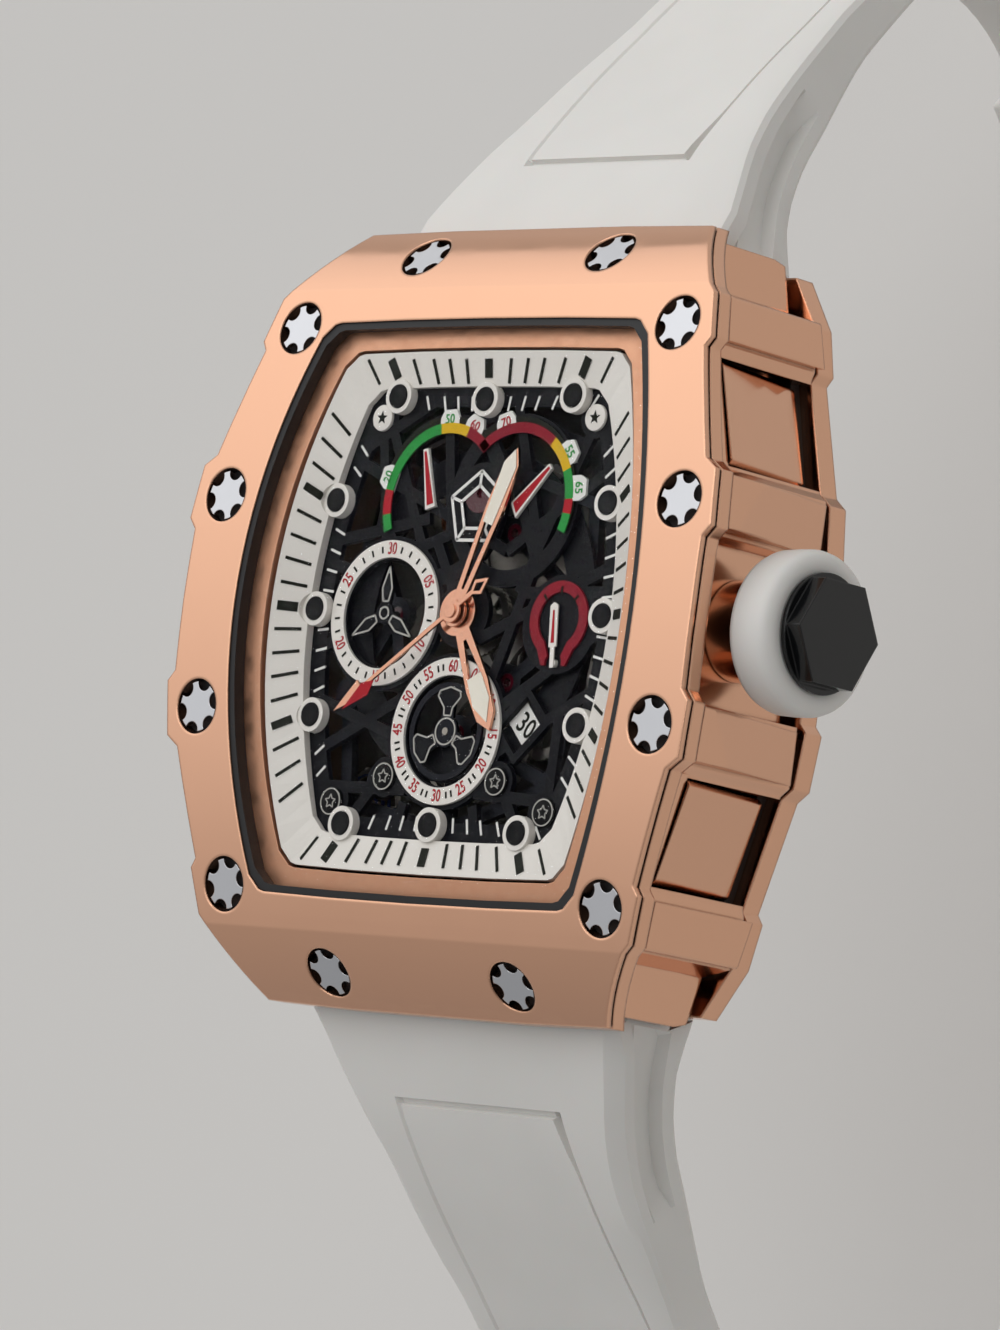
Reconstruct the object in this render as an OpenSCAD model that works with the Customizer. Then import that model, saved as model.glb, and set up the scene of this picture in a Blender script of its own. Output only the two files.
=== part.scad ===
// Skeleton watch with a curved tonneau case, screwed bezel and rubber strap.
// Units are mm. The dial faces +Z, twelve is at +Y and the crown is at +X.
// Z = 0 is the outer face of the case back.

/* [Case] */
// Length of the case from end to end
case_length = 50; // [49:0.5:52]
// Width of the case over the side pillars
case_width = 45; // [44.5:0.5:47]
// Height from the case back to the corner screws
case_height = 13; // [12.8:0.2:14]
// Thickness of the bezel
bezel_t = 1.6; // [1.5:0.1:1.9]
// Thickness of the gasket under the bezel
gasket_t = 0.2; // [0.15:0.05:0.3]
// Thickness of the case back
back_t = 1.5; // [1.3:0.1:1.7]

/* [Screws] */
// Diameter of the bezel screw heads
screw_d = 3.2; // [3:0.1:3.4]
// Depth of the recess for each bezel screw
screw_sink = 1; // [0.9:0.05:1.1]
// Notches around each screw head
screw_notches = 6; // [5:1:8]

/* [Crown and pushers] */
// Outer diameter of the rubber ring on the crown
crown_d = 9.6; // [9:0.2:10]
// Length of the rubber ring along the stem
crown_w = 2.9; // [2.6:0.1:3.2]
// Size across the corners of the crown cap
cap_d = 7.3; // [6.8:0.1:7.6]
// How far the crown pulls out
crown_pull = 1; // [0.6:0.1:1.2]
// How far each pusher moves in
pusher_travel = 0.6; // [0.4:0.1:0.7]

/* [Dial] */
// Outer diameter of the two counter rings
counter_d = 9.3; // [9:0.1:9.5]
// Width of the printed band of each counter ring
counter_band = 1.1; // [1:0.05:1.2]
// Length of the hour hand
hour_len = 8.4; // [7.6:0.2:8.8]
// Length of the minute hand
minute_len = 11; // [10.2:0.2:11.2]
// Length of the seconds hand
second_len = 11.2; // [10.4:0.2:11.4]
// Diameter of the hour marker discs
marker_d = 1.5; // [1.3:0.1:1.7]

/* [Strap] */
// Width of the strap where it leaves the case
strap_w = 26.8; // [26:0.2:27]
// Width of the strap at the buckle
strap_end_w = 18.6; // [18:0.2:19]
// Thickness of the strap at the buckle
strap_t = 3.1; // [2.9:0.1:3.3]
// Length of the tail along its middle line
tail_length = 118; // [112:2:122]
// Diameter of the adjusting holes
hole_d = 2.3; // [2:0.1:2.6]

/* [Buckle] */
// Thickness of the buckle frame
buckle_t = 2.2; // [2:0.1:2.4]
// Length of the buckle frame
buckle_len = 11; // [10:0.5:12]

/* [Hidden] */
$fn = 64;
grow_x = (case_width - 45) / 2;
grow_y = (case_length - 50) / 2;
top_r = 102;
end_r = 16;
top_z = case_height + 1.58;
end_y = 13.15 + grow_y;
end_z = case_height - 14.7;
mid_base = back_t + 0.8;
lean = 9.5;
groove_at = 0.4;
groove_w = 0.2;
dial_t = 0.4;
dial_z = case_height - 1.6;
glass_t = 1;
plate_z = mid_base + 2.3 + (case_height - 13) / 2;
plate_t = 0.9;
floor_z = plate_z + plate_t;
bridge_z = dial_z - 1.5;
bridge_t = 0.6;
crown_z = floor_z + 1.6;
crown_x = 23 + grow_x;
nine = [-6.7, -0.1];
six = [0, -7.45];
three = [8.35, -2.95];
third = [3.65, -4.11];
escape = [-3.9, -9.4];
pallet = [-6.1, -10.6];
balance = [-8.9, -12.1];
barrel = [2.6, 5.3];
post = [10.9, 15.3];
train_z = floor_z + 0.25;
bar_y = 22.9 + grow_y;
bar_z = 4.4;
short_length = 75;
strap_from = [25.2 + grow_y, 3.6];

function ring4(q) = concat(
  q,
  [for (i = [len(q) - 2:-1:0]) [-q[i][0], q[i][1]]],
  [for (i = [1:len(q) - 1]) [-q[i][0], -q[i][1]]],
  [for (i = [len(q) - 2:-1:1]) [q[i][0], -q[i][1]]]
);
function grown(q) = [
  for (p = q) [p[0] + grow_x * min(1, p[0] / 14), p[1] + grow_y * min(1, p[1] / 15)]
];

// Barrel shaped outline: half width in the middle, half width at the ends, half height.
function tonneau(w, e, h, n = 12) = ring4(concat(
  [for (i = [0:n]) let (y = (h - 1) * i / n) [w - (w - e) * pow(y / h, 2), y]],
  [for (a = [30:30:90]) [e - 1 + cos(a), h - 1 + sin(a)]],
  [[e / 2, h + 0.12], [0, h + 0.16]]
));

module tonneau_plate(w, e, h, t) {
  linear_extrude(t) polygon(tonneau(w + grow_x * 0.5, e + grow_x * 0.5, h + grow_y * 0.5));
}

function case_line(i) = grown([
  [21.95 - i, 0], [21.9 - i, 4.6 + i * 0.4], [22.5 - i, 5.3 + i * 0.4], [22.1 - i, 8.8 - i * 0.4],
  [21.1 - i, 9.5 - i * 0.4], [18.95 - i, 16.5 + i * 0.4], [19.35 - i, 17.1 + i * 0.4],
  [18.6 - i, 20 - i * 0.3], [18.05 - i, 20.55 - i * 0.3], [14.65 - i, 24.85 - i],
  [7.5, 25 - i], [0, 25 - i]
]);

module case_outline(i = 0) {
  polygon(ring4(case_line(i)));
}

module x_rod(r, y, z, from, to) {
  translate([from, y, z]) rotate([0, 90, 0]) cylinder(r = r, h = to - from);
}

// Everything below the curved top of the case, moved down by the given amount.
module under(drop) {
  translate([0, 0, -drop]) intersection() {
    x_rod(top_r, 0, top_z - top_r, -40, 40, $fn = 180);
    union() {
      translate([-40, -19.5 - grow_y, -30]) cube([80, 39 + 2 * grow_y, 60]);
      for (s = [-1, 1]) x_rod(end_r, s * end_y, end_z, -40, 40, $fn = 96);
    }
  }
}

// Places for the twelve bezel screws: x, y, tilt of the axis.
screw_spots = [
  [16.3 + grow_x, 18 + grow_y, 10.2], [19.6 + grow_x, 6.87, 3.9], [7.95, 23 + grow_y, 38]
];
function surface_z(y) = abs(y) < 20.5 + grow_y
  ? top_z - top_r + sqrt(top_r * top_r - y * y)
  : end_z + sqrt(end_r * end_r - pow(abs(y) - end_y, 2));

module at_screws() {
  for (p = screw_spots) for (sx = [-1, 1]) for (sy = [-1, 1])
    translate([sx * p[0], sy * p[1], surface_z(p[1])])
      rotate([-sy * p[2], 0, 0]) children();
}

module bezel() {
  color("#c98a68") difference() {
    intersection() {
      translate([0, 0, case_height - 9]) linear_extrude(15) case_outline(0);
      under(0);
    }
    under(bezel_t);
    difference() {
      under(groove_at);
      under(groove_at + groove_w);
      linear_extrude(30) case_outline(0.35);
    }
    translate([0, 0, 4]) tonneau_plate(17.25, 13.7, 18.3, 20);
    at_screws() {
      translate([0, 0, -screw_sink]) cylinder(d = screw_d + 0.36, h = 3);
      translate([0, 0, -4]) cylinder(r = 0.82, h = 5, $fn = 24);
    }
  }
}

module bezel_gasket() {
  color("#141414") difference() {
    intersection() {
      translate([0, 0, case_height - 11]) linear_extrude(15) case_outline(0.3);
      under(bezel_t);
    }
    under(bezel_t + gasket_t);
    translate([0, 0, 2]) tonneau_plate(17.35, 13.8, 18.4, 20);
    at_screws() translate([0, 0, -4]) cylinder(r = 0.82, h = 5, $fn = 24);
  }
}

module bezel_screws() {
  color("#c9c9cc") at_screws() {
    difference() {
      translate([0, 0, -screw_sink]) cylinder(d = screw_d, h = screw_sink - 0.12);
      for (a = [0:360 / screw_notches:359]) rotate([0, 0, a + 15])
        translate([screw_d / 2, 0, -screw_sink + 0.1]) cylinder(r = 0.56, h = 2, $fn = 24);
    }
    translate([0, 0, -screw_sink - 2.5]) cylinder(r = 0.75, h = 2.6, $fn = 24);
  }
}

module crystal() {
  color("#dfe8ee", 0.3) difference() {
    intersection() {
      translate([0, 0, 4]) tonneau_plate(16.75, 13.2, 17.8, 20);
      under(-0.05);
    }
    under(glass_t);
  }
}

module crystal_gasket() {
  color("#1a1a1a") difference() {
    intersection() {
      translate([0, 0, 4]) tonneau_plate(17.22, 13.67, 18.27, 20);
      under(0.12);
    }
    under(glass_t);
    translate([0, 0, 3]) tonneau_plate(16.78, 13.23, 17.83, 22);
  }
}

module inner_ring() {
  color("#c48866") difference() {
    intersection() {
      translate([0, 0, 4]) tonneau_plate(17.2, 13.65, 18.25, 20);
      under(glass_t + 0.02);
    }
    under(bezel_t + gasket_t - 0.02);
    translate([0, 0, 3]) tonneau_plate(15.4, 12, 16.6, 22);
  }
}

core_line = grown([
  [19.2, 0], [19.2, 4.9], [20.7, 5.1], [20.7, 8.9], [20.1, 9.4], [18.2, 16.4],
  [18.4, 17], [17.8, 20.2], [15.6, 20.8], [14.75, 24], [0, 24]
]);

module slot_ends() {
  for (s = [-1, 1]) scale([1, s, 1])
    translate([-13.6, 21.5 + grow_y, 0]) {
      cube([27.2, 8, 7 + case_height - 13]);
      translate([0, 2.5, 0]) cube([27.2, 8, case_height]);
    }
}

// The two ends of the middle lean inwards towards the back.
module end_cuts() {
  for (s = [-1, 1]) scale([1, s, 1]) translate([0, 25 + grow_y, case_height - 5.7])
    rotate([-14, 0, 0]) translate([-30, 0, -20]) cube([60, 12, 22]);
}

// The block in which a pusher runs; it is open towards the back.
pusher_y = [9.65, 16.15];
pusher_top = case_height - 2.25;
module pusher_room(s) {
  translate([15.6 + grow_x, s > 0 ? pusher_y[0] - 0.1 : -pusher_y[1] - 0.1, mid_base - 1])
    cube([9, pusher_y[1] - pusher_y[0] + 0.2, pusher_top + 0.12 - mid_base + 1]);
}

// Upright blocks leaned inwards towards the back, about a line under the bezel.
module leaned(s, x) {
  translate([s * x, 0, case_height - 1.2]) rotate([0, s * lean, 0]) translate([-s * x, 0, 0])
    children();
}

module mid_case() {
  color("#c98a68") difference() {
    intersection() {
      union() {
        translate([0, 0, mid_base]) linear_extrude(15) polygon(ring4(core_line));
        for (sx = [-1, 1]) for (sy = [-1, 1]) for (r = [[5.4, 3.3], [17.2 + grow_y, 2.9]])
          intersection() {
            translate([0, 0, mid_base]) linear_extrude(15) case_outline(0.15);
            translate([sx > 0 ? 12 : -32, sy > 0 ? r[0] : -r[0] - r[1], 0]) cube([20, r[1], 20]);
          }
      }
      under(bezel_t + gasket_t);
    }
    translate([0, 0, plate_z]) tonneau_plate(15.2, 12, 17.2, 20);
    translate([0, 0, 0]) tonneau_plate(14.2, 11.2, 16.2, 20);
    slot_ends();
    end_cuts();
    for (s = [-1, 1]) leaned(s, 22.35 + grow_x)
      translate([s > 0 ? 22.35 + grow_x : -28.35 - grow_x, -30, -20]) cube([6, 60, 25]);
    x_rod(1.45, 0, crown_z, 12, 24);
    for (s = [-1, 1]) {
      pusher_room(s);
      x_rod(0.9, s * 13.1, crown_z - 0.6, 10, 20, $fn = 32);
      x_rod(0.76, s * bar_y, bar_z, -14.3, 14.3, $fn = 32);
    }
    at_screws() translate([0, 0, -4.4]) cylinder(r = 0.82, h = 5, $fn = 24);
    at_back_screws() translate([0, 0, 1]) cylinder(r = 0.68, h = 3.6, $fn = 24);
  }
}

module at_back_screws() {
  for (sx = [-1, 1]) for (sy = [-1, 1]) {
    translate([sx * (15.4 + grow_x), sy * (18.6 + grow_y), 0]) children();
    translate([sx * (18.4 + grow_x), sy * 7, 0]) children();
  }
}

module back_gasket() {
  color("#101010") difference() {
    translate([0, 0, back_t]) linear_extrude(mid_base - back_t) polygon(ring4(grown([
      [17.9, 0], [17.9, 5], [19.6, 5.6], [19.6, 8.6], [18.3, 9.2], [16.5, 16.4], [16.9, 17.3],
      [16.7, 19.8], [15.2, 20.7], [13.2, 21], [0, 21]
    ])));
    tonneau_plate(14.2, 11.2, 16.2, 20);
    at_back_screws() cylinder(r = 0.68, h = 5, $fn = 24);
  }
}

module case_back() {
  color("#c98a68") difference() {
    linear_extrude(back_t) polygon(ring4(grown([
      [20.2, 0], [20.2, 4.7], [20.75, 5.3], [20.35, 8.8], [19.5, 9.5], [17.5, 16.5],
      [17.95, 17.1], [17.3, 20], [16.9, 20.6], [15.2, 23.2], [0, 23.2]
    ])));
    translate([0, 0, -1]) cylinder(r = 12.4, h = back_t + 0.5);
    translate([0, 0, -1]) cylinder(r = 11.8, h = back_t + 3);
    at_back_screws() {
      translate([0, 0, -1]) cylinder(r = 1.5, h = 1.8);
      translate([0, 0, -1]) cylinder(r = 0.68, h = 5, $fn = 24);
    }
  }
}

module back_crystal() {
  color("#dfe8ee", 0.3) cylinder(r = 12.36, h = back_t - 0.52);
}

module back_screws() {
  color("#c9c9cc") at_back_screws() {
    difference() {
      translate([0, 0, 0.1]) cylinder(r = 1.42, h = 0.68);
      for (a = [0:60:359]) rotate([0, 0, a])
        translate([1.42, 0, -1]) cylinder(r = 0.38, h = 1.5, $fn = 24);
    }
    translate([0, 0, 0.7]) cylinder(r = 0.62, h = 3.2, $fn = 24);
  }
}

module crown_tube() {
  color("#c98a68") difference() {
    union() {
      x_rod(1.4, 0, crown_z, 15.3, crown_x + crown_pull - 0.2);
      x_rod(3.15, 0, crown_z, 19.22 + grow_x, crown_x - 1.6);
    }
    x_rod(0.7, 0, crown_z, 12, crown_x + 2, $fn = 32);
  }
}

module crown_stem() {
  color("#a9a9ad") {
    x_rod(0.62, 0, crown_z, 12.6, crown_x + 1.7, $fn = 32);
    difference() {
      x_rod(1.2, 0, crown_z, 13, 14, $fn = 32);
      for (a = [0:45:359]) translate([12, 0, crown_z]) rotate([a, 0, 0])
        translate([0, 1.35, 0]) rotate([0, 90, 0]) cylinder(r = 0.3, h = 4, $fn = 16);
    }
  }
}

module crown_body() {
  color("#c98a68") difference() {
    union() {
      x_rod(3.4, 0, crown_z, crown_x - 0.4, crown_x + 0.02);
      x_rod(3.1, 0, crown_z, crown_x, crown_x + crown_w - 0.1);
    }
    x_rod(1.5, 0, crown_z, crown_x - 2, crown_x + crown_pull + 0.1);
    x_rod(0.67, 0, crown_z, crown_x - 2, crown_x + 1.75, $fn = 32);
  }
}

module crown_ring() {
  color("#efeeec") difference() {
    union() {
      x_rod(crown_d / 2, 0, crown_z, crown_x + 0.5, crown_x + crown_w - 0.4);
      x_rod(crown_d / 2 - 0.4, 0, crown_z, crown_x + 0.1, crown_x + crown_w);
    }
    x_rod(3.12, 0, crown_z, crown_x - 2, crown_x + crown_w + 2);
  }
}

module crown_cap() {
  color("#15161a") {
    x_rod(cap_d / 2 + 0.05, 0, crown_z, crown_x + crown_w + 0.02, crown_x + crown_w + 0.3);
    translate([crown_x + crown_w + 0.25, 0, crown_z]) rotate([0, 90, 0])
      cylinder(d = cap_d, h = 1.15, $fn = 6);
    x_rod(2, 0, crown_z, crown_x + crown_w - 0.08, crown_x + crown_w + 0.1);
  }
}

// Outer face of the pushers at the height where they lean from.
function pusher_x(y) = 20.95 + grow_x - 0.295 * (y - 8);

module pusher(s) {
  low = mid_base + 0.2;
  y0 = pusher_y[0];
  y1 = pusher_y[1];
  edge = 0.35;
  intersection() {
    translate([16.3 + pusher_travel + grow_x, s > 0 ? y0 : -y1, low])
      cube([8, y1 - y0, pusher_top - low]);
    scale([1, s, 1]) leaned(1, pusher_x(13)) translate([0, 0, -20]) linear_extrude(30) polygon([
      [10, y0 - 1], [pusher_x(y0) - edge, y0 - 1], [pusher_x(y0) - edge, y0],
      [pusher_x(y0 + edge), y0 + edge], [pusher_x(y1 - edge), y1 - edge],
      [pusher_x(y1) - edge, y1], [pusher_x(y1) - edge, y1 + 1], [10, y1 + 1]
    ]);
  }
  x_rod(0.8, s * 13.1, crown_z - 0.6, 14.6, 17.4 + grow_x, $fn = 32);
}

module pusher_two() {
  color("#c98a68") pusher(1);
}

module pusher_four() {
  color("#c98a68") pusher(-1);
}

marker_places = [
  [0, 13.5], [7.5, 13.7], [11.6, 7], [12.35, 0], [11.4, -6.8], [7.6, -13.6], [0, -13.4],
  [-7.6, -13.6], [-11.6, -6.8], [-12.5, 0], [-11.9, 7], [-7.6, 13.7]
];
marker_spots = [
  for (p = marker_places) [p[0] * (1 + grow_x / 26), p[1] * (1 + grow_y / 28)]
];

// A closed ring skin between matching outlines, each with the heights of its points.
module ring_skin(lines, heights) {
  n = len(lines[0]);
  k = len(lines);
  pts = [for (j = [0:k - 1]) for (i = [0:n - 1]) [lines[j][i][0], lines[j][i][1], heights[j][i]]];
  faces = [for (j = [0:k - 1]) for (i = [0:n - 1])
    [j * n + i, ((j + 1) % k) * n + i, ((j + 1) % k) * n + (i + 1) % n, j * n + (i + 1) % n]];
  tris = [for (f = faces) for (t = [[0, 1, 2], [0, 2, 3]]) [for (v = t) f[v]]];
  polyhedron(points = pts, faces = tris, convexity = 6);
}

// How far the crystal's curve stands above its height near the two ends.
function crown_of(y) = surface_z(min(abs(y), 16.4 + grow_y)) - surface_z(16.4 + grow_y);

module flange() {
  gx = grow_x * 0.5;
  gy = grow_y * 0.5;
  far = tonneau(15.2 + gx, 11.85 + gx, 16.4 + gy);
  near = tonneau(13 + gx, 9.95 + gx, 14.2 + gy);
  color("#f2f0ee") {
    difference() {
      ring_skin([far, near, near, far], [
        [for (p = far) dial_z + 0.8 + 0.8 * crown_of(p[1])],
        [for (p = near) dial_z + 0.3 + 0.22 * crown_of(p[1])],
        [for (p = near) dial_z], [for (p = far) dial_z]
      ]);
      for (p = marker_spots) translate([p[0], p[1], dial_z - 1]) cylinder(d = marker_d + 0.7, h = 3);
    }
    for (p = marker_spots) translate([p[0], p[1], dial_z]) difference() {
      cylinder(d = marker_d + 0.7, h = 0.62);
      translate([0, 0, -1]) cylinder(d = marker_d + 0.06, h = 3);
    }
  }
}

module hour_markers() {
  color("#0d0d0f") for (p = marker_spots)
    translate([p[0], p[1], dial_z]) cylinder(d = marker_d, h = 0.7);
}

module strut(a, b, w, z, h) {
  d = b - a;
  translate([a[0], a[1], z]) rotate([0, 0, atan2(d[1], d[0])])
    translate([0, -w / 2, 0]) cube([norm(d), w, h]);
}

dial_struts = [
  [[-15, 8], [-2, 15]], [[-12, 4.5], [-4, 6]], [[-10, 15], [-4, 3.6]], [[-4, 15.5], [-2, 5]],
  [[-13, 10.5], [3, 4]], [[3, 4], [13, 10.5]], [[1.6, 15.5], [6, 3.4]], [[10, 14], [4.5, 1.4]],
  [[-2, 5], [-5, 4]], [[2, 9.3], [15, 5.6]], [[4.5, 1.4], [15, 1.6]], [[1.5, -1.6], [13, 3.6]],
  [[4.5, -5.6], [12, -0.8]], [[4.6, -8.5], [14, -3.4]], [[5.6, 3.4], [3.2, -4]],
  [[5.6, 3.4], [2.9, 8.6]],
  [[4.4, -9.4], [8, -15]], [[3, -11.2], [14, -11.8]], [[-3, -11.2], [-14, -11.2]],
  [[-4.4, -9.4], [-9, -15]], [[-4.6, -7.8], [-14, -5]], [[-4.2, -5.4], [-12, -9.4]],
  [[-3, -12], [-4, -16]], [[3, -12], [4, -16]], [[-11.2, -2], [-15, -4]], [[-10.6, 2.6], [-15, 4]],
  [[0, -12], [0, -16]], [[-1.2, 1.6], [-3, 4.4]], [[-7.6, 4.6], [-9.6, 14]], [[9.3, -6.2], [9.3, -13]]
];

module date_window(w, d) {
  translate([6.2, -6.85, dial_z - 3]) rotate([0, 0, 45]) translate([-w / 2, -d / 2, 0])
    cube([w, d, 6]);
}

module dial_plate() {
  low = dial_z - dial_t;
  color("#121216") difference() {
    union() {
      difference() {
        translate([0, 0, low]) tonneau_plate(15, 11.7, 16.3, dial_t);
        translate([0, 0, low - 1]) tonneau_plate(11.7, 8.9, 13, dial_t + 2);
      }
      intersection() {
        translate([0, 0, low]) tonneau_plate(14, 11, 15.4, dial_t);
        union() {
          for (s = dial_struts) strut(s[0], s[1], 0.75, low, dial_t);
          for (c = [nine, six]) translate([c[0], c[1], low])
            cylinder(d = counter_d + 0.6, h = dial_t);
          translate([0, 0, low]) cylinder(r = 2.2, h = dial_t);
          translate([0.2, 7.6, low]) cylinder(r = 2, h = dial_t);
          translate([8.35, -0.5, low]) cylinder(r = 3.1, h = dial_t);
          for (sx = [-1, 1]) {
            translate([sx * 9.2, 12.4, low]) cylinder(r = 1.3, h = dial_t);
            translate([sx * 9.2, -12.2, low]) cylinder(r = 1.4, h = dial_t);
            translate([sx * 4.85, -10.45, low]) cylinder(r = 1.3, h = dial_t);
            translate([sx * 3.05, 7.2, low]) difference() {
              cylinder(r = 5.5, h = dial_t);
              translate([0, 0, -1]) cylinder(r = 4.4, h = dial_t + 2);
            }
          }
        }
      }
      translate([6.2, -6.85, low]) rotate([0, 0, 45]) translate([-1.9, -1.6, 0])
        cube([3.8, 3.2, dial_t]);
    }
    for (c = [nine, six]) translate([c[0], c[1], low - 1])
      cylinder(r = counter_d / 2 - counter_band - 0.1, h = 3);
    translate([0, 0, low - 1]) cylinder(r = 1.05, h = 3);
    translate([0.2, 7.6, low - 1]) cylinder(r = 1.25, h = 3);
    translate([three[0], three[1], low - 1]) cylinder(r = 0.32, h = 3, $fn = 24);
    date_window(2.9, 2.2);
  }
}

module counter_ring(c) {
  color("#f2f0ee") translate([c[0], c[1], dial_z]) difference() {
    cylinder(d = counter_d, h = 0.2);
    translate([0, 0, -1]) cylinder(r = counter_d / 2 - counter_band, h = 2);
  }
}

module counter_ring_nine() {
  counter_ring(nine);
}

module counter_ring_six() {
  counter_ring(six);
}

module gauge_arc() {
  color("#2f9d4a") translate([0, 0, dial_z]) for (s = [-1, 1]) intersection() {
    translate([s * 3.05, 7.2, 0]) difference() {
      cylinder(r = 5.3, h = 0.16);
      translate([0, 0, -1]) cylinder(r = 4.6, h = 2);
    }
    linear_extrude(2) polygon([
      [s * 3.05, 7.2], [s * 9.3, 5.1], [s * 9.5, 14], [0, 14], [0, 9.4]
    ]);
  }
}

module gauge_pointers() {
  color("#b3202a") translate([0, 0, dial_z]) {
    linear_extrude(0.22) polygon([[-3.5, 6.75], [-4.3, 6.5], [-5.15, 10.35], [-4.75, 10.45]]);
    linear_extrude(0.22) polygon([[3.05, 7], [3.6, 6.05], [6.15, 9.2], [5.9, 9.5]]);
  }
}

module function_scale() {
  color("#b3202a") translate([8.35, -0.2, dial_z]) difference() {
    union() {
      cylinder(r = 2.4, h = 0.16);
      linear_extrude(0.16) polygon([[-2.38, 0], [2.38, 0], [1, -2.9], [-1, -2.9]]);
    }
    translate([0, 0, -1]) cylinder(r = 1.7, h = 2);
    translate([0, 0, -1]) linear_extrude(2) polygon([
      [-1.68, 0.1], [1.68, 0.1], [0.55, -2.3], [-0.55, -2.3]
    ]);
    translate([0, -2.75, -1]) cylinder(r = 0.7, h = 2);
  }
}

module date_disc() {
  color("#1b1b1f") translate([0, 0, dial_z - dial_t - 0.35]) difference() {
    cylinder(r = 10.6, h = 0.2);
    translate([0, 0, -1]) cylinder(r = 8.3, h = 2);
  }
}

module hour_hand() {
  color("#d19a78") translate([0, 0, dial_z + 0.32]) rotate([0, 0, -151]) difference() {
    union() {
      cylinder(r = 1.5, h = 0.2);
      linear_extrude(0.2) polygon([
        [-0.45, 0], [0.45, 0], [0.95, hour_len - 3.2], [0.75, hour_len - 1], [0, hour_len],
        [-0.75, hour_len - 1], [-0.95, hour_len - 3.2]
      ]);
    }
    translate([0, 0, -1]) cylinder(r = 0.91, h = 3, $fn = 32);
    translate([0, 0, -1]) linear_extrude(3) polygon([
      [-0.12, 2], [0.12, 2], [0.6, hour_len - 3.5], [-0.6, hour_len - 3.5]
    ]);
  }
}

module minute_hand() {
  color("#d19a78") translate([0, 0, dial_z + 0.65]) rotate([0, 0, -19.4]) difference() {
    union() {
      cylinder(r = 0.95, h = 0.2);
      linear_extrude(0.2) polygon([
        [-0.4, 0], [0.4, 0], [0.75, minute_len - 4], [0.6, minute_len - 1], [0, minute_len],
        [-0.6, minute_len - 1], [-0.75, minute_len - 4]
      ]);
    }
    translate([0, 0, -1]) cylinder(r = 0.56, h = 3, $fn = 32);
    translate([0, 0, -1]) linear_extrude(3) polygon([
      [-0.1, 1.5], [0.1, 1.5], [0.42, minute_len - 4.3], [-0.42, minute_len - 4.3]
    ]);
  }
}

module seconds_hand() {
  color("#c0242b") translate([0, 0, dial_z + 1]) rotate([0, 0, 126]) {
    difference() {
      union() {
        cylinder(r = 0.75, h = 0.15);
        linear_extrude(0.15) polygon([
          [-0.16, -3.4], [0.16, -3.4], [0.12, second_len - 2.6], [0.62, second_len - 2.6],
          [0, second_len], [-0.62, second_len - 2.6], [-0.12, second_len - 2.6]
        ]);
        linear_extrude(0.15) polygon([[0, -1.8], [0.55, -2.6], [0, -3.6], [-0.55, -2.6]]);
      }
      translate([0, 0, -1]) linear_extrude(3) polygon([
        [0, -2.15], [0.3, -2.6], [0, -3.2], [-0.3, -2.6]
      ]);
      translate([0, 0, -1]) cylinder(r = 0.26, h = 3, $fn = 24);
    }
    translate([0, 0, 0.14]) cylinder(r = 0.45, h = 0.12, $fn = 24);
  }
}

module counter_hand() {
  color("#c9c9c4") translate([nine[0], nine[1], 0]) {
    translate([0, 0, dial_z - 0.05]) difference() {
      union() {
        cylinder(r = 0.7, h = 0.22);
        for (a = [0:120:359]) rotate([0, 0, a]) linear_extrude(0.22)
          polygon([[-0.3, 0], [0.3, 0], [0.5, 1.6], [0, 3.1], [-0.5, 1.6]]);
      }
      for (a = [0:120:359]) rotate([0, 0, a]) translate([0, 0, -1]) linear_extrude(3)
        polygon([[-0.08, 0.9], [0.08, 0.9], [0.26, 1.6], [0, 2.5], [-0.26, 1.6]]);
    }
    translate([0, 0, bridge_z + bridge_t - 0.35])
      cylinder(r = 0.24, h = dial_z - bridge_z - 0.3, $fn = 24);
  }
}

module small_seconds() {
  color("#3c3d40") translate([six[0], six[1], dial_z - 0.05]) difference() {
    union() {
      cylinder(r = 1, h = 0.2);
      difference() {
        cylinder(r = 3.1, h = 0.2);
        translate([0, 0, -1]) cylinder(r = 2.7, h = 3);
      }
      for (a = [0:120:359]) rotate([0, 0, a]) translate([-0.5, 0, 0]) cube([1, 2.9, 0.2]);
    }
    for (a = [0:120:359]) rotate([0, 0, a]) translate([0, 2, -1]) cylinder(r = 0.32, h = 3, $fn = 24);
    translate([0, 0, -1]) cylinder(r = 0.25, h = 3, $fn = 24);
  }
}

module function_hand() {
  color("#f2f0ee") translate([three[0], three[1], dial_z]) {
    translate([0, 0, -0.3]) cylinder(r = 0.24, h = 0.5, $fn = 24);
    translate([0, 0, 0.18]) rotate([0, 0, 6]) linear_extrude(0.1)
      polygon([[-0.16, -0.3], [0.16, -0.3], [0.16, 1], [0.32, 1], [0.32, 3.6], [0, 3.8], [-0.32, 3.6],
        [-0.32, 1], [-0.16, 1]]);
  }
}

bridge_feet = [
  [-9.4, 4.4], [-7.6, 10.6], [9.8, 0.2], [8.6, -10.4], [0, -13.6], [-10, -5.2], [-1.4, 13],
  [8.8, 10.6]
];

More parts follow.
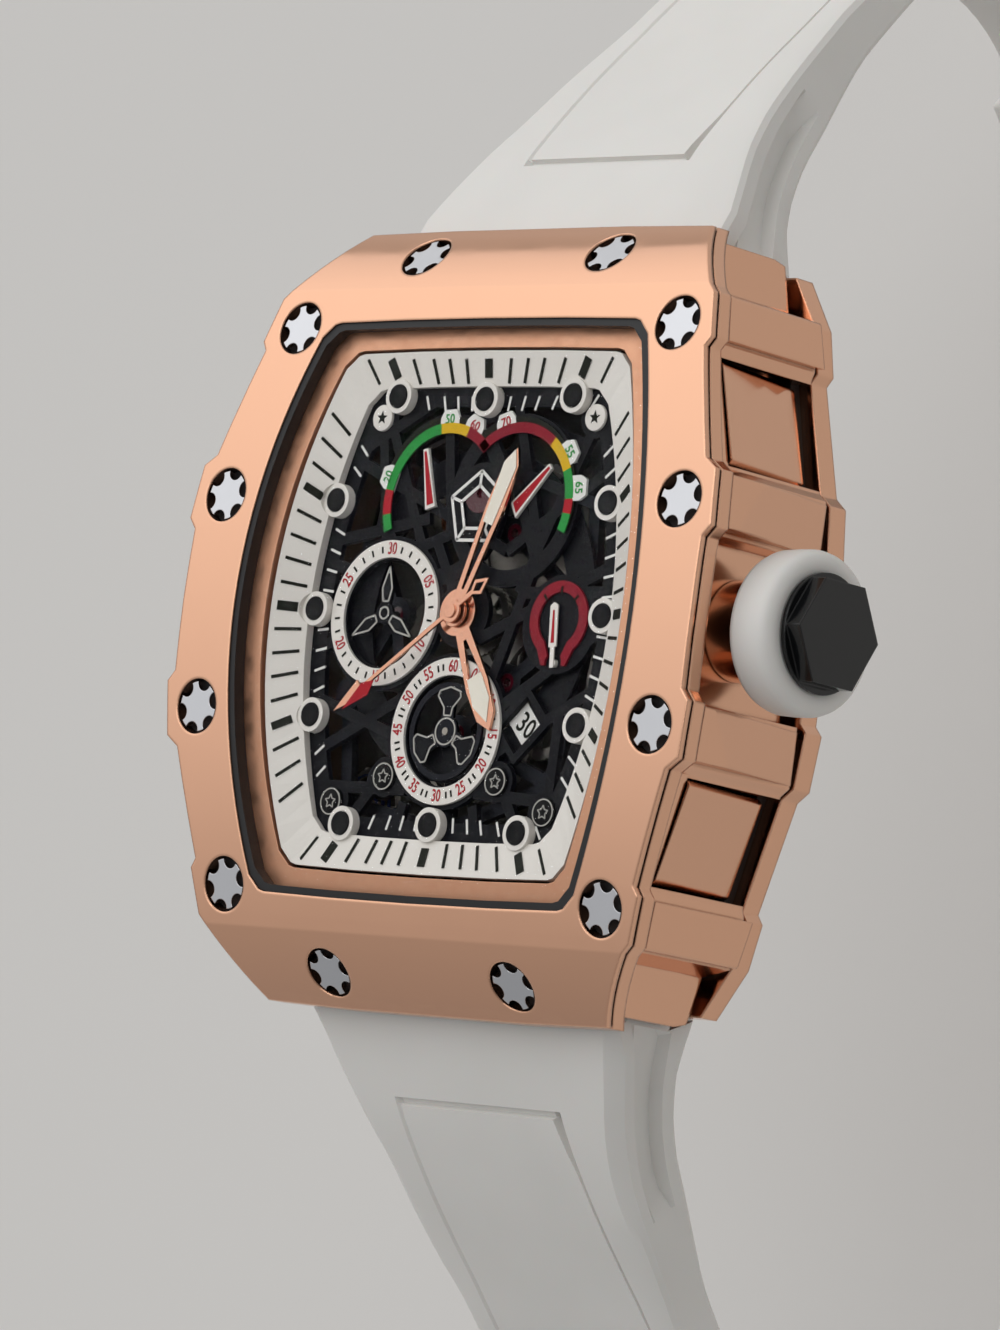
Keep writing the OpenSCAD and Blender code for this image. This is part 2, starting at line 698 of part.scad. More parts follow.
module mainplate() {
  color("#55585e") {
    difference() {
      translate([0, 0, plate_z]) tonneau_plate(15.05, 11.85, 17.05, plate_t);
      for (p = [[-8, 7.4], [8.5, 6], [8.6, -6], [-8.6, 0]]) translate([p[0], p[1], 0])
        cylinder(r = 1.7, h = 20);
      for (p = [[-4.4, 12.6], [4.4, -12.6], [4.4, 13], [-4.5, -15.2]]) translate([p[0], p[1], 0])
        cylinder(r = 1.2, h = 20);
      for (p = [[0, 0], third, six, escape, pallet, balance, barrel])
        translate([p[0], p[1], floor_z - 0.5]) cylinder(r = 0.3, h = 3, $fn = 24);
    }
    for (sx = [-1, 1]) for (sy = [-1, 1])
      translate([sx * post[0], sy * post[1], floor_z - 0.1])
        cylinder(r = 0.9, h = dial_z - dial_t - floor_z + 0.1, $fn = 32);
    for (p = bridge_feet) translate([p[0], p[1], floor_z - 0.1])
      cylinder(r = 0.8, h = bridge_z - floor_z + 0.1, $fn = 32);
    translate([0, 0, plate_z - 2]) cylinder(r = 0.7, h = 2.1, $fn = 32);
    translate([0, 0, plate_z - 1.95]) cylinder(r = 1.2, h = 0.4, $fn = 32);
  }
}

bridge_struts = [
  [bridge_feet[0], bridge_feet[1]], [bridge_feet[1], bridge_feet[6]], [bridge_feet[6], bridge_feet[7]],
  [bridge_feet[7], bridge_feet[2]], [bridge_feet[2], bridge_feet[3]], [bridge_feet[3], bridge_feet[4]],
  [bridge_feet[4], balance], [balance, bridge_feet[5]], [bridge_feet[5], nine],
  [bridge_feet[0], nine], [bridge_feet[1], barrel], [barrel, bridge_feet[7]],
  [bridge_feet[2], third], [third, six], [six, bridge_feet[4]], [escape, six],
  [escape, bridge_feet[4]], [nine, escape], [barrel, bridge_feet[2]], [bridge_feet[3], six],
  [pallet, escape], [pallet, balance]
];

module train_bridge() {
  color("#1a1b1f") difference() {
    union() {
      for (s = bridge_struts) strut(s[0], s[1], 0.9, bridge_z, bridge_t);
      for (p = bridge_feet) translate([p[0], p[1], bridge_z]) cylinder(r = 1.1, h = bridge_t);
      for (p = [third, six, escape, pallet, balance, barrel, nine])
        translate([p[0], p[1], bridge_z]) cylinder(r = 1.2, h = bridge_t);
    }
    for (p = [third, six, escape, pallet, balance, barrel, nine])
      translate([p[0], p[1], bridge_z - 1]) cylinder(r = 0.6, h = 3);
  }
}

module jewels() {
  color("#c2185b") {
    for (p = [third, six, escape, pallet, balance, barrel, nine])
      translate([p[0], p[1], bridge_z + 0.05]) difference() {
        cylinder(r = 0.59, h = bridge_t - 0.1);
        translate([0, 0, -1]) cylinder(r = 0.3, h = 3, $fn = 24);
      }
    translate([0.2, 7.6, dial_z - dial_t]) difference() {
      cylinder(r = 1.24, h = 0.5);
      translate([0, 0, 0.3]) cylinder(r = 0.3, h = 3, $fn = 24);
    }
  }
}

// A wheel with spokes; teeth are notched out of the rim.
module wheel(r, t, teeth, rim = 0.7, spokes = 4, hub = 0.9) {
  difference() {
    cylinder(r = r, h = t);
    for (i = [0:teeth - 1]) rotate([0, 0, 360 * i / teeth]) translate([r, 0, -1])
      cylinder(r = r * 1.45 / teeth, h = t + 2, $fn = 6);
    difference() {
      translate([0, 0, -1]) cylinder(r = r - rim, h = t + 2);
      translate([0, 0, -2]) cylinder(r = hub, h = t + 4);
      for (i = [0:spokes - 1]) rotate([0, 0, 360 * i / spokes]) translate([0, -0.2, -2])
        cube([r, 0.4, t + 4]);
    }
  }
}

module barrel_drum() {
  color("#b08d57") translate([barrel[0], barrel[1], 0]) {
    translate([0, 0, train_z + 1.65]) difference() {
      cylinder(r = 4.9, h = 0.4);
      for (i = [0:59]) rotate([0, 0, i * 6]) translate([4.9, 0, -1])
        cylinder(r = 0.14, h = 3, $fn = 6);
    }
    translate([0, 0, train_z + 2.03]) difference() {
      cylinder(r = 4.4, h = 1);
      translate([0, 0, 0.8]) difference() {
        cylinder(r = 3.9, h = 1);
        translate([0, 0, -1]) cylinder(r = 1.4, h = 3);
      }
    }
    translate([0, 0, floor_z - 0.4]) cylinder(r = 0.25, h = bridge_z + 0.5 - floor_z, $fn = 24);
    translate([0, 0, floor_z + 0.1]) cylinder(r = 0.9, h = 1.9);
  }
}

module seconds_arbor() {
  color("#b8b8bc") {
    translate([0, 0, floor_z - 0.4]) cylinder(r = 0.25, h = dial_z + 1.12 - floor_z + 0.4, $fn = 24);
    translate([0, 0, train_z - 0.15]) wheel(3.8, 0.3, 60);
  }
}

module minute_tube() {
  color("#c9a45c") difference() {
    union() {
      translate([0, 0, train_z + 0.3]) cylinder(r = 0.55, h = dial_z + 0.85 - train_z - 0.3, $fn = 32);
      translate([0, 0, train_z + 0.4]) wheel(4.86, 0.4, 80);
      translate([0, 0, train_z + 1.6]) cylinder(r = 0.94, h = 0.5);
    }
    translate([0, 0, 0]) cylinder(r = 0.33, h = 30, $fn = 24);
  }
}

module hour_tube() {
  color("#c9a45c") difference() {
    union() {
      translate([0, 0, bridge_z - 0.7]) cylinder(r = 0.9, h = dial_z + 0.52 - bridge_z + 0.7, $fn = 32);
      translate([0, 0, bridge_z - 0.45]) wheel(2.4, 0.3, 40, rim = 0.6, hub = 1.1);
    }
    translate([0, 0, 0]) cylinder(r = 0.63, h = 30, $fn = 24);
  }
}

module third_wheel() {
  color("#c9a45c") translate([third[0], third[1], 0]) {
    translate([0, 0, floor_z - 0.4]) cylinder(r = 0.25, h = bridge_z + 0.5 - floor_z, $fn = 24);
    translate([0, 0, train_z + 0.3]) cylinder(r = 0.59, h = 0.8);
    translate([0, 0, train_z + 1]) wheel(4.34, 0.35, 75);
  }
}

module fourth_wheel() {
  color("#c9a45c") translate([six[0], six[1], 0]) {
    translate([0, 0, floor_z - 0.4]) cylinder(r = 0.24, h = dial_z + 0.2 - floor_z + 0.4, $fn = 24);
    translate([0, 0, train_z + 0.95]) cylinder(r = 0.56, h = 0.9);
    translate([0, 0, train_z + 1.8]) wheel(3.93, 0.3, 70);
  }
}

module escape_wheel() {
  color("#c9a45c") translate([escape[0], escape[1], 0]) {
    translate([0, 0, floor_z - 0.4]) cylinder(r = 0.25, h = bridge_z + 0.5 - floor_z, $fn = 24);
    translate([0, 0, train_z + 1.75]) cylinder(r = 0.38, h = 0.5);
    translate([0, 0, train_z + 0.8]) {
      wheel(1.6, 0.25, 15, rim = 0.4, hub = 0.6);
      for (i = [0:14]) rotate([0, 0, i * 24 + 12]) linear_extrude(0.25)
        polygon([[1.35, -0.1], [1.95, 0.16], [1.35, 0.14]]);
    }
  }
}

module pallet_fork() {
  color("#9a9aa0") translate([pallet[0], pallet[1], 0]) {
    translate([0, 0, floor_z - 0.4]) cylinder(r = 0.22, h = bridge_z + 0.5 - floor_z, $fn = 24);
    translate([0, 0, train_z + 0.8]) rotate([0, 0, 28]) {
      cylinder(r = 0.42, h = 0.25);
      translate([-1.6, -0.16, 0]) cube([1.6, 0.32, 0.25]);
      translate([-0.15, -1.7, 0]) cube([0.3, 3.4, 0.25]);
    }
  }
}

module balance_wheel() {
  color("#c9a45c") translate([balance[0], balance[1], 0]) {
    translate([0, 0, floor_z - 0.4]) cylinder(r = 0.22, h = bridge_z + 0.5 - floor_z, $fn = 24);
    translate([0, 0, train_z + 2]) {
      difference() {
        cylinder(r = 2.6, h = 0.45);
        translate([0, 0, -1]) cylinder(r = 2.1, h = 3);
      }
      translate([-2.3, -0.2, 0.05]) cube([4.6, 0.4, 0.3]);
      cylinder(r = 0.5, h = 0.4);
      for (a = [0:45:359]) rotate([0, 0, a + 22]) translate([2.5, 0, 0.22])
        rotate([0, 90, 0]) cylinder(r = 0.16, h = 0.25, $fn = 16);
    }
  }
}

spring_turns = 3;
spring_pitch = 0.56;
spring_strip = 0.1;
function coil(a, r0) = (r0 + spring_pitch * a / 360) * [cos(a), sin(a)];

module hairspring() {
  inner = [for (a = [0:15:360 * spring_turns]) coil(a, 0.75)];
  outer = [for (a = [360 * spring_turns:-15:0]) coil(a, 0.75 + spring_strip)];
  echo("least gap between the coils of the hairspring", spring_pitch - spring_strip);
  color("#3a4f8a") translate([balance[0], balance[1], train_z + 2.7]) {
    linear_extrude(0.2) polygon(concat(inner, outer));
    translate([0.4, -0.06, 0]) cube([0.45, 0.12, 0.2]);
    difference() {
      cylinder(r = 0.48, h = 0.2);
      translate([0, 0, -1]) cylinder(r = 0.26, h = 3, $fn = 24);
    }
  }
}

module rotor() {
  z = plate_z - 1.4;
  color("#8d9096") difference() {
    union() {
      translate([0, 0, z]) cylinder(r = 2, h = 0.6);
      translate([0, 0, z]) intersection() {
        difference() {
          cylinder(r = 10.4, h = 0.35);
          translate([0, 0, -1]) cylinder(r = 8.2, h = 3);
        }
        translate([-13, -13, -1]) cube([26, 12.4, 3]);
      }
      for (a = [-152, -90, -28]) rotate([0, 0, a]) translate([1, -0.6, z]) cube([8, 1.2, 0.35]);
    }
    cylinder(r = 0.78, h = 20, $fn = 32);
  }
}

module rotor_weight() {
  z = plate_z - 1.4;
  color("#c98a68") translate([0, 0, z]) intersection() {
    difference() {
      cylinder(r = 11.2, h = 1);
      translate([0, 0, -1]) cylinder(r = 10.42, h = 3);
    }
    translate([-13, -13, -1]) cube([26, 12.4, 3]);
  }
}

// Strap: the middle line is walked in small steps, turning with the length.
turn_short = [[0, 28], [6, 34], [12, 37], [22, 42], [30, 46], [44, 90], [51, 90], [63, 135], [90, 135]];
turn_tail = [[0, 28], [6, 34], [12, 39], [22, 42], [36, 90], [60, 90], [90, 180], [140, 180]];
above = [
  [0, 2.95], [5.6, 2.9], [12.4, 2.4], [17.7, 1.95], [26, strap_t / 2 + 0.05], [34, strap_t / 2],
  [140, strap_t / 2]
];
below = [
  [0, 4.4], [3, 2.95], [6, 2.6], [12.4, 2.4], [17.7, 1.95], [26, strap_t / 2 + 0.05],
  [34, strap_t / 2], [140, strap_t / 2]
];

function walk(turn, len_mm, ds) = [
  for (s = 0, p = strap_from; s <= len_mm + 0.001;
    p = p + ds * [cos(lookup(s + ds / 2, turn)), -sin(lookup(s + ds / 2, turn))], s = s + ds) p
];
function side_line(turn, len_mm, ds, sign) = let (w = walk(turn, len_mm, ds)) [
  for (i = [0:len(w) - 1]) let (a = lookup(i * ds, turn),
    h = sign > 0 ? lookup(i * ds, above) : -lookup(i * ds, below)) w[i] + h * [sin(a), cos(a)]
];
function reversed(v) = [for (i = [len(v) - 1:-1:0]) v[i]];

module in_side_view() {
  rotate([90, 0, 90]) children();
}

module strap_body(turn, len_mm, tip = false) {
  out = side_line(turn, len_mm, 2, 1);
  in = side_line(turn, len_mm, 2, -1);
  foot = back_t + 0.2;
  k = (foot - in[0][1]) / (out[0][1] - in[0][1]);
  ledge = 24.2 + grow_y;
  root = [
    in[0] + k * (out[0] - in[0]), [21.7 + grow_y, foot], [21.7 + grow_y, 6.7], [ledge, 6.7],
    [ledge, out[0][1] + (out[0][0] - ledge) * tan(turn[0][1])]
  ];
  half = strap_w / 2;
  thin = strap_end_w / 2;
  intersection() {
    translate([-half, 0, 0]) in_side_view() linear_extrude(strap_w)
      polygon(concat(root, out, reversed(in)));
    union() {
      translate([-thin, -70, -80]) cube([2 * thin, 140, 100]);
      translate([0, grow_y, -11]) linear_extrude(30) polygon([
        [-half, 20], [half, 20], [half, 27.5], [thin + 1.6, 33], [thin, 41],
        [-thin, 41], [-thin - 1.6, 33], [-half, 27.5]
      ]);
    }
  }
}

short_path = walk(turn_short, short_length, 1);
buckle_at = short_path[short_length];

module at_buckle(a = 0) {
  translate([0, buckle_at[0], buckle_at[1]]) rotate([225 + a, 0, 0]) children();
}

module strap_upper() {
  color("#eeedec") difference() {
    union() {
      difference() {
        strap_body(turn_short, short_length - 1);
        at_buckle() translate([-20, -1.2, -5]) cube([40, 10, 10]);
      }
      at_buckle() translate([-strap_end_w / 2, 0, 0]) rotate([0, 90, 0])
        cylinder(r = strap_t / 2 + 0.1, h = strap_end_w);
    }
    x_rod(0.76, bar_y, bar_z, -20, 20, $fn = 32);
    at_buckle() {
      translate([-20, 0, 0]) rotate([0, 90, 0]) cylinder(r = 0.8, h = 40, $fn = 32);
      translate([-1.5, -3.2, -5]) cube([3, 10, 10]);
    }
  }
}

module strap_lower() {
  tip_y = walk(turn_tail, tail_length, 2)[tail_length / 2][0];
  floor_h = walk(turn_tail, tail_length, 2)[tail_length / 2][1];
  color("#eeedec") mirror([0, 1, 0]) difference() {
    strap_body(turn_tail, tail_length);
    x_rod(0.76, bar_y, bar_z, -20, 20, $fn = 32);
    for (i = [0:6]) translate([0, tip_y + 8 + i * 4, floor_h - 5])
      cylinder(d = hole_d, h = 10, $fn = 32);
    for (s = [-1, 1]) translate([0, 0, floor_h - 5]) linear_extrude(10) polygon([
      [s * (strap_end_w / 2 + 1), tip_y - 1], [s * (strap_end_w / 2 + 1), tip_y + 6],
      [s * strap_end_w / 2, tip_y + 5], [s * 4, tip_y - 1]
    ]);
  }
}

module strap_bars() {
  color("#b8b8bc") for (s = [-1, 1]) x_rod(0.7, s * bar_y, bar_z, -14.2, 14.2, $fn = 32);
}

module keeper(y, w) {
  half = strap_end_w / 2 + 0.35;
  at_buckle() translate([0, y, 0]) difference() {
    translate([-half - 1.1, 0, -strap_t / 2 - 1.1]) cube([2 * half + 2.2, w, 2 * strap_t + 3]);
    translate([-half, -1, -strap_t / 2 - 0.12]) cube([2 * half, w + 2, 2 * strap_t + 1]);
  }
}

module fixed_keeper() {
  color("#eeedec") {
    keeper(-6.2, 2.4);
    at_buckle() for (s = [-1, 1])
      translate([s > 0 ? strap_end_w / 2 : -strap_end_w / 2 - 0.4, -5.9, -0.5]) cube([0.4, 1.8, 1]);
  }
}

module loose_keeper() {
  color("#eeedec") keeper(-9.8, 2.4);
}

module spring_bar() {
  color("#b8b8bc") at_buckle() translate([-strap_end_w / 2 - 1.7, 0, 0]) rotate([0, 90, 0])
    cylinder(r = 0.72, h = strap_end_w + 3.4, $fn = 32);
}

module buckle_frame() {
  in = strap_end_w / 2 + 0.3;
  color("#c98a68") at_buckle() difference() {
    union() {
      for (s = [-1, 1]) {
        translate([s > 0 ? in : -in - 2, 0, -buckle_t / 2]) cube([2, buckle_len, buckle_t]);
        translate([s > 0 ? in : -in - 2, 0, 0]) rotate([0, 90, 0])
          cylinder(r = buckle_t / 2 + 0.4, h = 2);
      }
      translate([-in - 2, buckle_len - 2, -buckle_t / 2]) cube([2 * in + 4, 2, buckle_t]);
    }
    translate([-20, 0, 0]) rotate([0, 90, 0]) cylinder(r = 0.8, h = 40, $fn = 32);
  }
}

module buckle_tang() {
  color("#c98a68") at_buckle() difference() {
    union() {
      translate([-1.2, 0, 0]) rotate([0, 90, 0]) cylinder(r = 1.6, h = 2.4);
      translate([-1, 0, 0.6]) cube([2, 1.5, buckle_t / 2 + 0.5]);
      translate([-1, 0, buckle_t / 2 + 0.1]) cube([2, buckle_len + 0.4, 1]);
    }
    translate([-20, 0, 0]) rotate([0, 90, 0]) cylinder(r = 0.8, h = 40, $fn = 32);
  }
}

bezel();
bezel_gasket();
bezel_screws();
crystal();
crystal_gasket();
inner_ring();
mid_case();
back_gasket();
case_back();
back_crystal();
back_screws();
crown_tube();
crown_stem();
crown_body();
crown_ring();
crown_cap();
pusher_two();
pusher_four();
flange();
hour_markers();
dial_plate();
counter_ring_nine();
counter_ring_six();
gauge_arc();
gauge_pointers();
function_scale();
date_disc();
hour_hand();
minute_hand();
seconds_hand();
counter_hand();
small_seconds();
function_hand();
mainplate();
train_bridge();
jewels();
barrel_drum();
minute_tube();
hour_tube();
seconds_arbor();
third_wheel();
fourth_wheel();
escape_wheel();
pallet_fork();
balance_wheel();
hairspring();
rotor();
rotor_weight();
strap_upper();
strap_lower();
strap_bars();
fixed_keeper();
loose_keeper();
spring_bar();
buckle_frame();
buckle_tang();
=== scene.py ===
import math

import bmesh
import bpy
from mathutils import Matrix, Vector


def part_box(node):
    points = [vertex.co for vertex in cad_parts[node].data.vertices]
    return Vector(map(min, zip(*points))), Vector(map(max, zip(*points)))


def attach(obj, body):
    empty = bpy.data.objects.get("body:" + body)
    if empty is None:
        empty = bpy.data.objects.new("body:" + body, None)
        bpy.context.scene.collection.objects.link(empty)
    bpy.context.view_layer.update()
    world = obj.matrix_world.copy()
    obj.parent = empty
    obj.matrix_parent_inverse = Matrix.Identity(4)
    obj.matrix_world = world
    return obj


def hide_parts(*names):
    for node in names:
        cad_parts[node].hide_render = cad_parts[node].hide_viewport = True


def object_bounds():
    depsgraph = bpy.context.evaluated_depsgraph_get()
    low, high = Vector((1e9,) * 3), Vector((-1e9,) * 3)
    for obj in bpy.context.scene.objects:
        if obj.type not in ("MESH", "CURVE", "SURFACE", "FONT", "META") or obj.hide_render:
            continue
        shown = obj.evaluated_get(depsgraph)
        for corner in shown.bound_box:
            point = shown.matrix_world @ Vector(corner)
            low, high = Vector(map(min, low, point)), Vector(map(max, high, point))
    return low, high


# A skeleton watch: rose gold case, open-worked dial, white rubber strap.
# The CAD frame is in metres: +Z out of the dial, +Y to twelve, +X to the crown.
# The dictionaries give millimetres and degrees. Only the places of the camera, and
# the studio's sizes and places, are in metres.
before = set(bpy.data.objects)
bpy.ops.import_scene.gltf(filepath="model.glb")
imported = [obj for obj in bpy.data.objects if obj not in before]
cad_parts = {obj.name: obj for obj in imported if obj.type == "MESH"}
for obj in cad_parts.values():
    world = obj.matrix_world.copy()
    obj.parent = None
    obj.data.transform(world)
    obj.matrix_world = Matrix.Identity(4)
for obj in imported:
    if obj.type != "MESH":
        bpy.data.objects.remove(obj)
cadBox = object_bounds()
mm = 0.001
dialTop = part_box("dial_plate")[1][2] / mm

camera = {
    "place": (0.29068, -0.04646, 0.30847),
    "aim": (-0.00047, -0.00251, 0.007),
    "pictureTop": (-0.02393, 0.98570, 0.16681),  # this way is up in the picture
    "lens": 181.75,
    "sensor": 36.0,
    "seesTo": 10.0,
}


def makeCamera():
    data = bpy.data.cameras.new("camera")
    data.sensor_fit = "AUTO"
    data.sensor_width = camera["sensor"]
    data.lens = camera["lens"]
    data.clip_end = camera["seesTo"]
    eye = bpy.data.objects.new("camera", data)
    ahead = (Vector(camera["aim"]) - Vector(camera["place"])).normalized()
    right = ahead.cross(Vector(camera["pictureTop"])).normalized()
    turned = Matrix((right, right.cross(ahead), -ahead)).transposed()
    eye.matrix_world = Matrix.Translation(camera["place"]) @ turned.to_4x4()
    bpy.context.scene.collection.objects.link(eye)
    bpy.context.scene.camera = eye


makeCamera()
print("camera ready")


# Small tools for materials and meshes.

def hexColor(text):
    # an sRGB colour as the linear values that nodes take
    channels = [int(text[i:i + 2], 16) / 255 for i in (1, 3, 5)]
    return [c / 12.92 if c <= 0.04045 else ((c + 0.055) / 1.055) ** 2.4 for c in channels] + [1.0]


def addNode(tree, kind, inputs=None, **settings):
    node = tree.nodes.new(kind)
    for name, value in settings.items():
        setattr(node, name, value)
    for name, value in (inputs or {}).items():
        if isinstance(value, bpy.types.NodeSocket):
            tree.links.new(value, node.inputs[name])
        else:
            node.inputs[name].default_value = value
    return node


def startMaterial(name, inputs):
    material = bpy.data.materials.new(name)
    material.use_nodes = True
    tree = material.node_tree
    tree.nodes.clear()
    shader = addNode(tree, "ShaderNodeBsdfPrincipled", inputs)
    addNode(tree, "ShaderNodeOutputMaterial", {"Surface": shader.outputs[0]})
    return material, tree, shader


def finishPiece(bm, name, material, body, smooth=None):
    bmesh.ops.recalc_face_normals(bm, faces=bm.faces)
    mesh = bpy.data.meshes.new(name)
    bm.to_mesh(mesh)
    bm.free()
    if smooth is not None:
        mesh.polygons.foreach_set("use_smooth", [True] * len(mesh.polygons))
        mesh.set_sharp_from_angle(angle=math.radians(smooth))
    mesh.materials.append(material)
    piece = bpy.data.objects.new(name, mesh)
    bpy.context.scene.collection.objects.link(piece)
    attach(piece, body)
    return piece


def turnedBy(outline, degrees, centre=(0, 0)):
    c, s = math.cos(math.radians(degrees)), math.sin(math.radians(degrees))
    return [(centre[0] + x * c - y * s, centre[1] + x * s + y * c) for x, y in outline]


def addPlate(bm, outline, low, high):
    face = bm.faces.new([bm.verts.new((x * mm, y * mm, low * mm)) for x, y in outline])
    grown = bmesh.ops.extrude_face_region(bm, geom=[face])
    top = [g for g in grown["geom"] if isinstance(g, bmesh.types.BMVert)]
    bmesh.ops.translate(bm, verts=top, vec=(0, 0, (high - low) * mm))


def addDisc(bm, x, y, radius, low, high):
    place = Matrix.Translation((x * mm, y * mm, (low + high) / 2 * mm))
    bmesh.ops.create_cone(bm, cap_ends=True, segments=32, radius1=radius * mm,
                          radius2=radius * mm, depth=(high - low) * mm, matrix=place)


# degrees of an arc per straight piece
arcStep = 5


def addArc(bm, centre, inner, outer, start, stop, low, high):
    across = turnedBy([(inner, 0), (outer, 0)], start, centre)
    corners = [(*across[0], low), (*across[1], low), (*across[1], high), (*across[0], high)]
    face = bm.faces.new([bm.verts.new(Vector(p) * mm) for p in corners])
    geom = [face] + list(face.edges) + list(face.verts)
    long = abs(stop - start)
    bmesh.ops.spin(bm, geom=geom, cent=(centre[0] * mm, centre[1] * mm, 0), axis=(0, 0, 1),
                   angle=math.radians(stop - start), steps=max(4, int(long / arcStep)),
                   use_merge=long >= 360)


# a digit's share of the font size, how much bolder it is drawn, steps per curve
digits = {"share": 0.72, "bolder": 0.012, "steps": 3}


def addNumber(bm, words, height, x, y, turn, low, high, narrow):
    curve = bpy.data.curves.new("number", "FONT")
    curve.body = words
    curve.size = height / digits["share"] * mm
    curve.align_x = "CENTER"
    curve.align_y = "CENTER"
    curve.extrude = (high - low) / 2 * mm
    curve.offset = digits["bolder"] * height * mm
    curve.resolution_u = digits["steps"]
    holder = bpy.data.objects.new("number", curve)
    mesh = bpy.data.meshes.new_from_object(holder)
    place = Matrix.Translation((x * mm, y * mm, (low + high) / 2 * mm))
    mesh.transform(place @ Matrix.Rotation(math.radians(turn), 4, "Z") @
                   Matrix.Diagonal((narrow, 1, 1, 1)))
    bm.from_mesh(mesh)
    bpy.data.objects.remove(holder)
    bpy.data.curves.remove(curve)
    bpy.data.meshes.remove(mesh)


def addBar(bm, start, stop, width, height):
    # a thin bar between two points, its top side facing up
    start, stop = Vector(start), Vector(stop)
    along = (stop - start).normalized()
    across = Vector((-along.y, along.x, 0)).normalized()
    turned = Matrix((along, across, along.cross(across))).transposed().to_4x4()
    size = Matrix.Diagonal(((stop - start).length * mm, width * mm, height * mm, 1))
    place = Matrix.Translation((start + stop) / 2 * mm)
    bmesh.ops.create_cube(bm, size=1, matrix=place @ turned @ size)


def clockPoint(degrees, radius, centre=(0, 0)):
    a = math.radians(degrees)
    return centre[0] + radius * math.sin(a), centre[1] + radius * math.cos(a)


def starOutline(radius, waist):
    return [clockPoint(36 * i, radius * (waist if i % 2 else 1)) for i in range(10)]


# Materials.

surfaces = {
    "hazeFrom": 0.3, "hazeTo": 0.7, "smoothest": 0.8, "roughest": 1.35,
    "gapFrom": 0.2, "gapTo": 0.62, "samples": 6, "reliefDepth": 0.02,
}


# Polished plated steel: mirror faces with a soft roundness on every edge and a faint haze
# left by the wheel, which breaks up long reflections. Where asked, gaps and recesses get
# painted shade: the base colour goes dark there.
def polishedMetal(name, color, look):
    material, tree, shader = startMaterial(name, {
        "Base Color": hexColor(color), "Metallic": 1.0, "Roughness": look["roughness"]})
    place = addNode(tree, "ShaderNodeTexCoord")
    haze = addNode(tree, "ShaderNodeTexNoise", {
        "Vector": place.outputs["Object"], "Scale": 1 / (look["hazeSize"] * mm), "Detail": 3.0})
    gloss = addNode(tree, "ShaderNodeMapRange", {
        "Value": haze.outputs["Fac"], "From Min": surfaces["hazeFrom"],
        "From Max": surfaces["hazeTo"], "To Min": look["roughness"] * surfaces["smoothest"],
        "To Max": look["roughness"] * surfaces["roughest"]})
    edge = addNode(tree, "ShaderNodeBevel", {"Radius": look["edge"] * mm},
                   samples=surfaces["samples"])
    if look.get("gap"):
        # painted shade: where a narrow gap or recess hides the surface, its base colour is blended
        # towards a dark tone, so it looks almost black
        depth = addNode(tree, "ShaderNodeAmbientOcclusion", {"Distance": look["gap"] * mm},
                        samples=surfaces["samples"])
        clear = addNode(tree, "ShaderNodeMapRange", {
            "Value": depth.outputs["AO"], "From Min": surfaces["gapFrom"],
            "From Max": surfaces["gapTo"]})
        tone = addNode(tree, "ShaderNodeMix", {
            "Factor": clear.outputs["Result"], "A": hexColor(look["gapShadeColor"]),
            "B": hexColor(color)}, data_type="RGBA")
        tree.links.new(tone.outputs["Result"], shader.inputs["Base Color"])
    tree.links.new(gloss.outputs["Result"], shader.inputs["Roughness"])
    tree.links.new(edge.outputs["Normal"], shader.inputs["Normal"])
    return material


# Satin metal: fine brushed lines in one direction, drawn coarser than real ones
# so that they show.
def satinMetal(name, color, look):
    material, tree, shader = startMaterial(name, {
        "Base Color": hexColor(color), "Metallic": 1.0, "Roughness": look["roughness"]})
    place = addNode(tree, "ShaderNodeTexCoord")
    stretched = addNode(tree, "ShaderNodeMapping", {
        "Vector": place.outputs["Object"], "Scale": (1.0, look["stretch"], 1.0)})
    lines = addNode(tree, "ShaderNodeTexNoise", {
        "Vector": stretched.outputs["Vector"], "Scale": 1 / (look["lineGap"] * mm), "Detail": 2.0})
    tone = addNode(tree, "ShaderNodeMix", {
        "Factor": lines.outputs["Fac"], "A": hexColor(color), "B": hexColor(look["worn"])},
        data_type="RGBA")
    relief = addNode(tree, "ShaderNodeBump", {
        "Height": lines.outputs["Fac"], "Strength": look["relief"],
        "Distance": surfaces["reliefDepth"] * mm})
    tree.links.new(tone.outputs["Result"], shader.inputs["Base Color"])
    tree.links.new(relief.outputs["Normal"], shader.inputs["Normal"])
    return material


# Moulded or lacquered non-metal: a fine grain in the surface and a slight drift
# of tone, both sized in millimetres.
def mouldedSurface(name, color, look):
    inputs = {"Base Color": hexColor(color), "Roughness": look["roughness"],
              "IOR": look.get("ior", 1.5)}
    inputs.update(look.get("extra", {}))
    material, tree, shader = startMaterial(name, inputs)
    place = addNode(tree, "ShaderNodeTexCoord")
    grain = addNode(tree, "ShaderNodeTexNoise", {
        "Vector": place.outputs["Object"], "Scale": 1 / (look["grain"] * mm), "Detail": 4.0})
    drift = addNode(tree, "ShaderNodeTexNoise", {
        "Vector": place.outputs["Object"], "Scale": 1 / (look["drift"] * mm), "Detail": 2.0})
    tone = addNode(tree, "ShaderNodeMix", {
        "Factor": drift.outputs["Fac"], "A": hexColor(color), "B": hexColor(look["shade"])},
        data_type="RGBA")
    relief = addNode(tree, "ShaderNodeBump", {
        "Height": grain.outputs["Fac"], "Strength": look["relief"],
        "Distance": surfaces["reliefDepth"] * mm})
    if look.get("edge"):
        edge = addNode(tree, "ShaderNodeBevel", {"Radius": look["edge"] * mm},
                       samples=surfaces["samples"])
        tree.links.new(edge.outputs["Normal"], relief.inputs["Normal"])
    tree.links.new(tone.outputs["Result"], shader.inputs["Base Color"])
    tree.links.new(relief.outputs["Normal"], shader.inputs["Normal"])
    return material
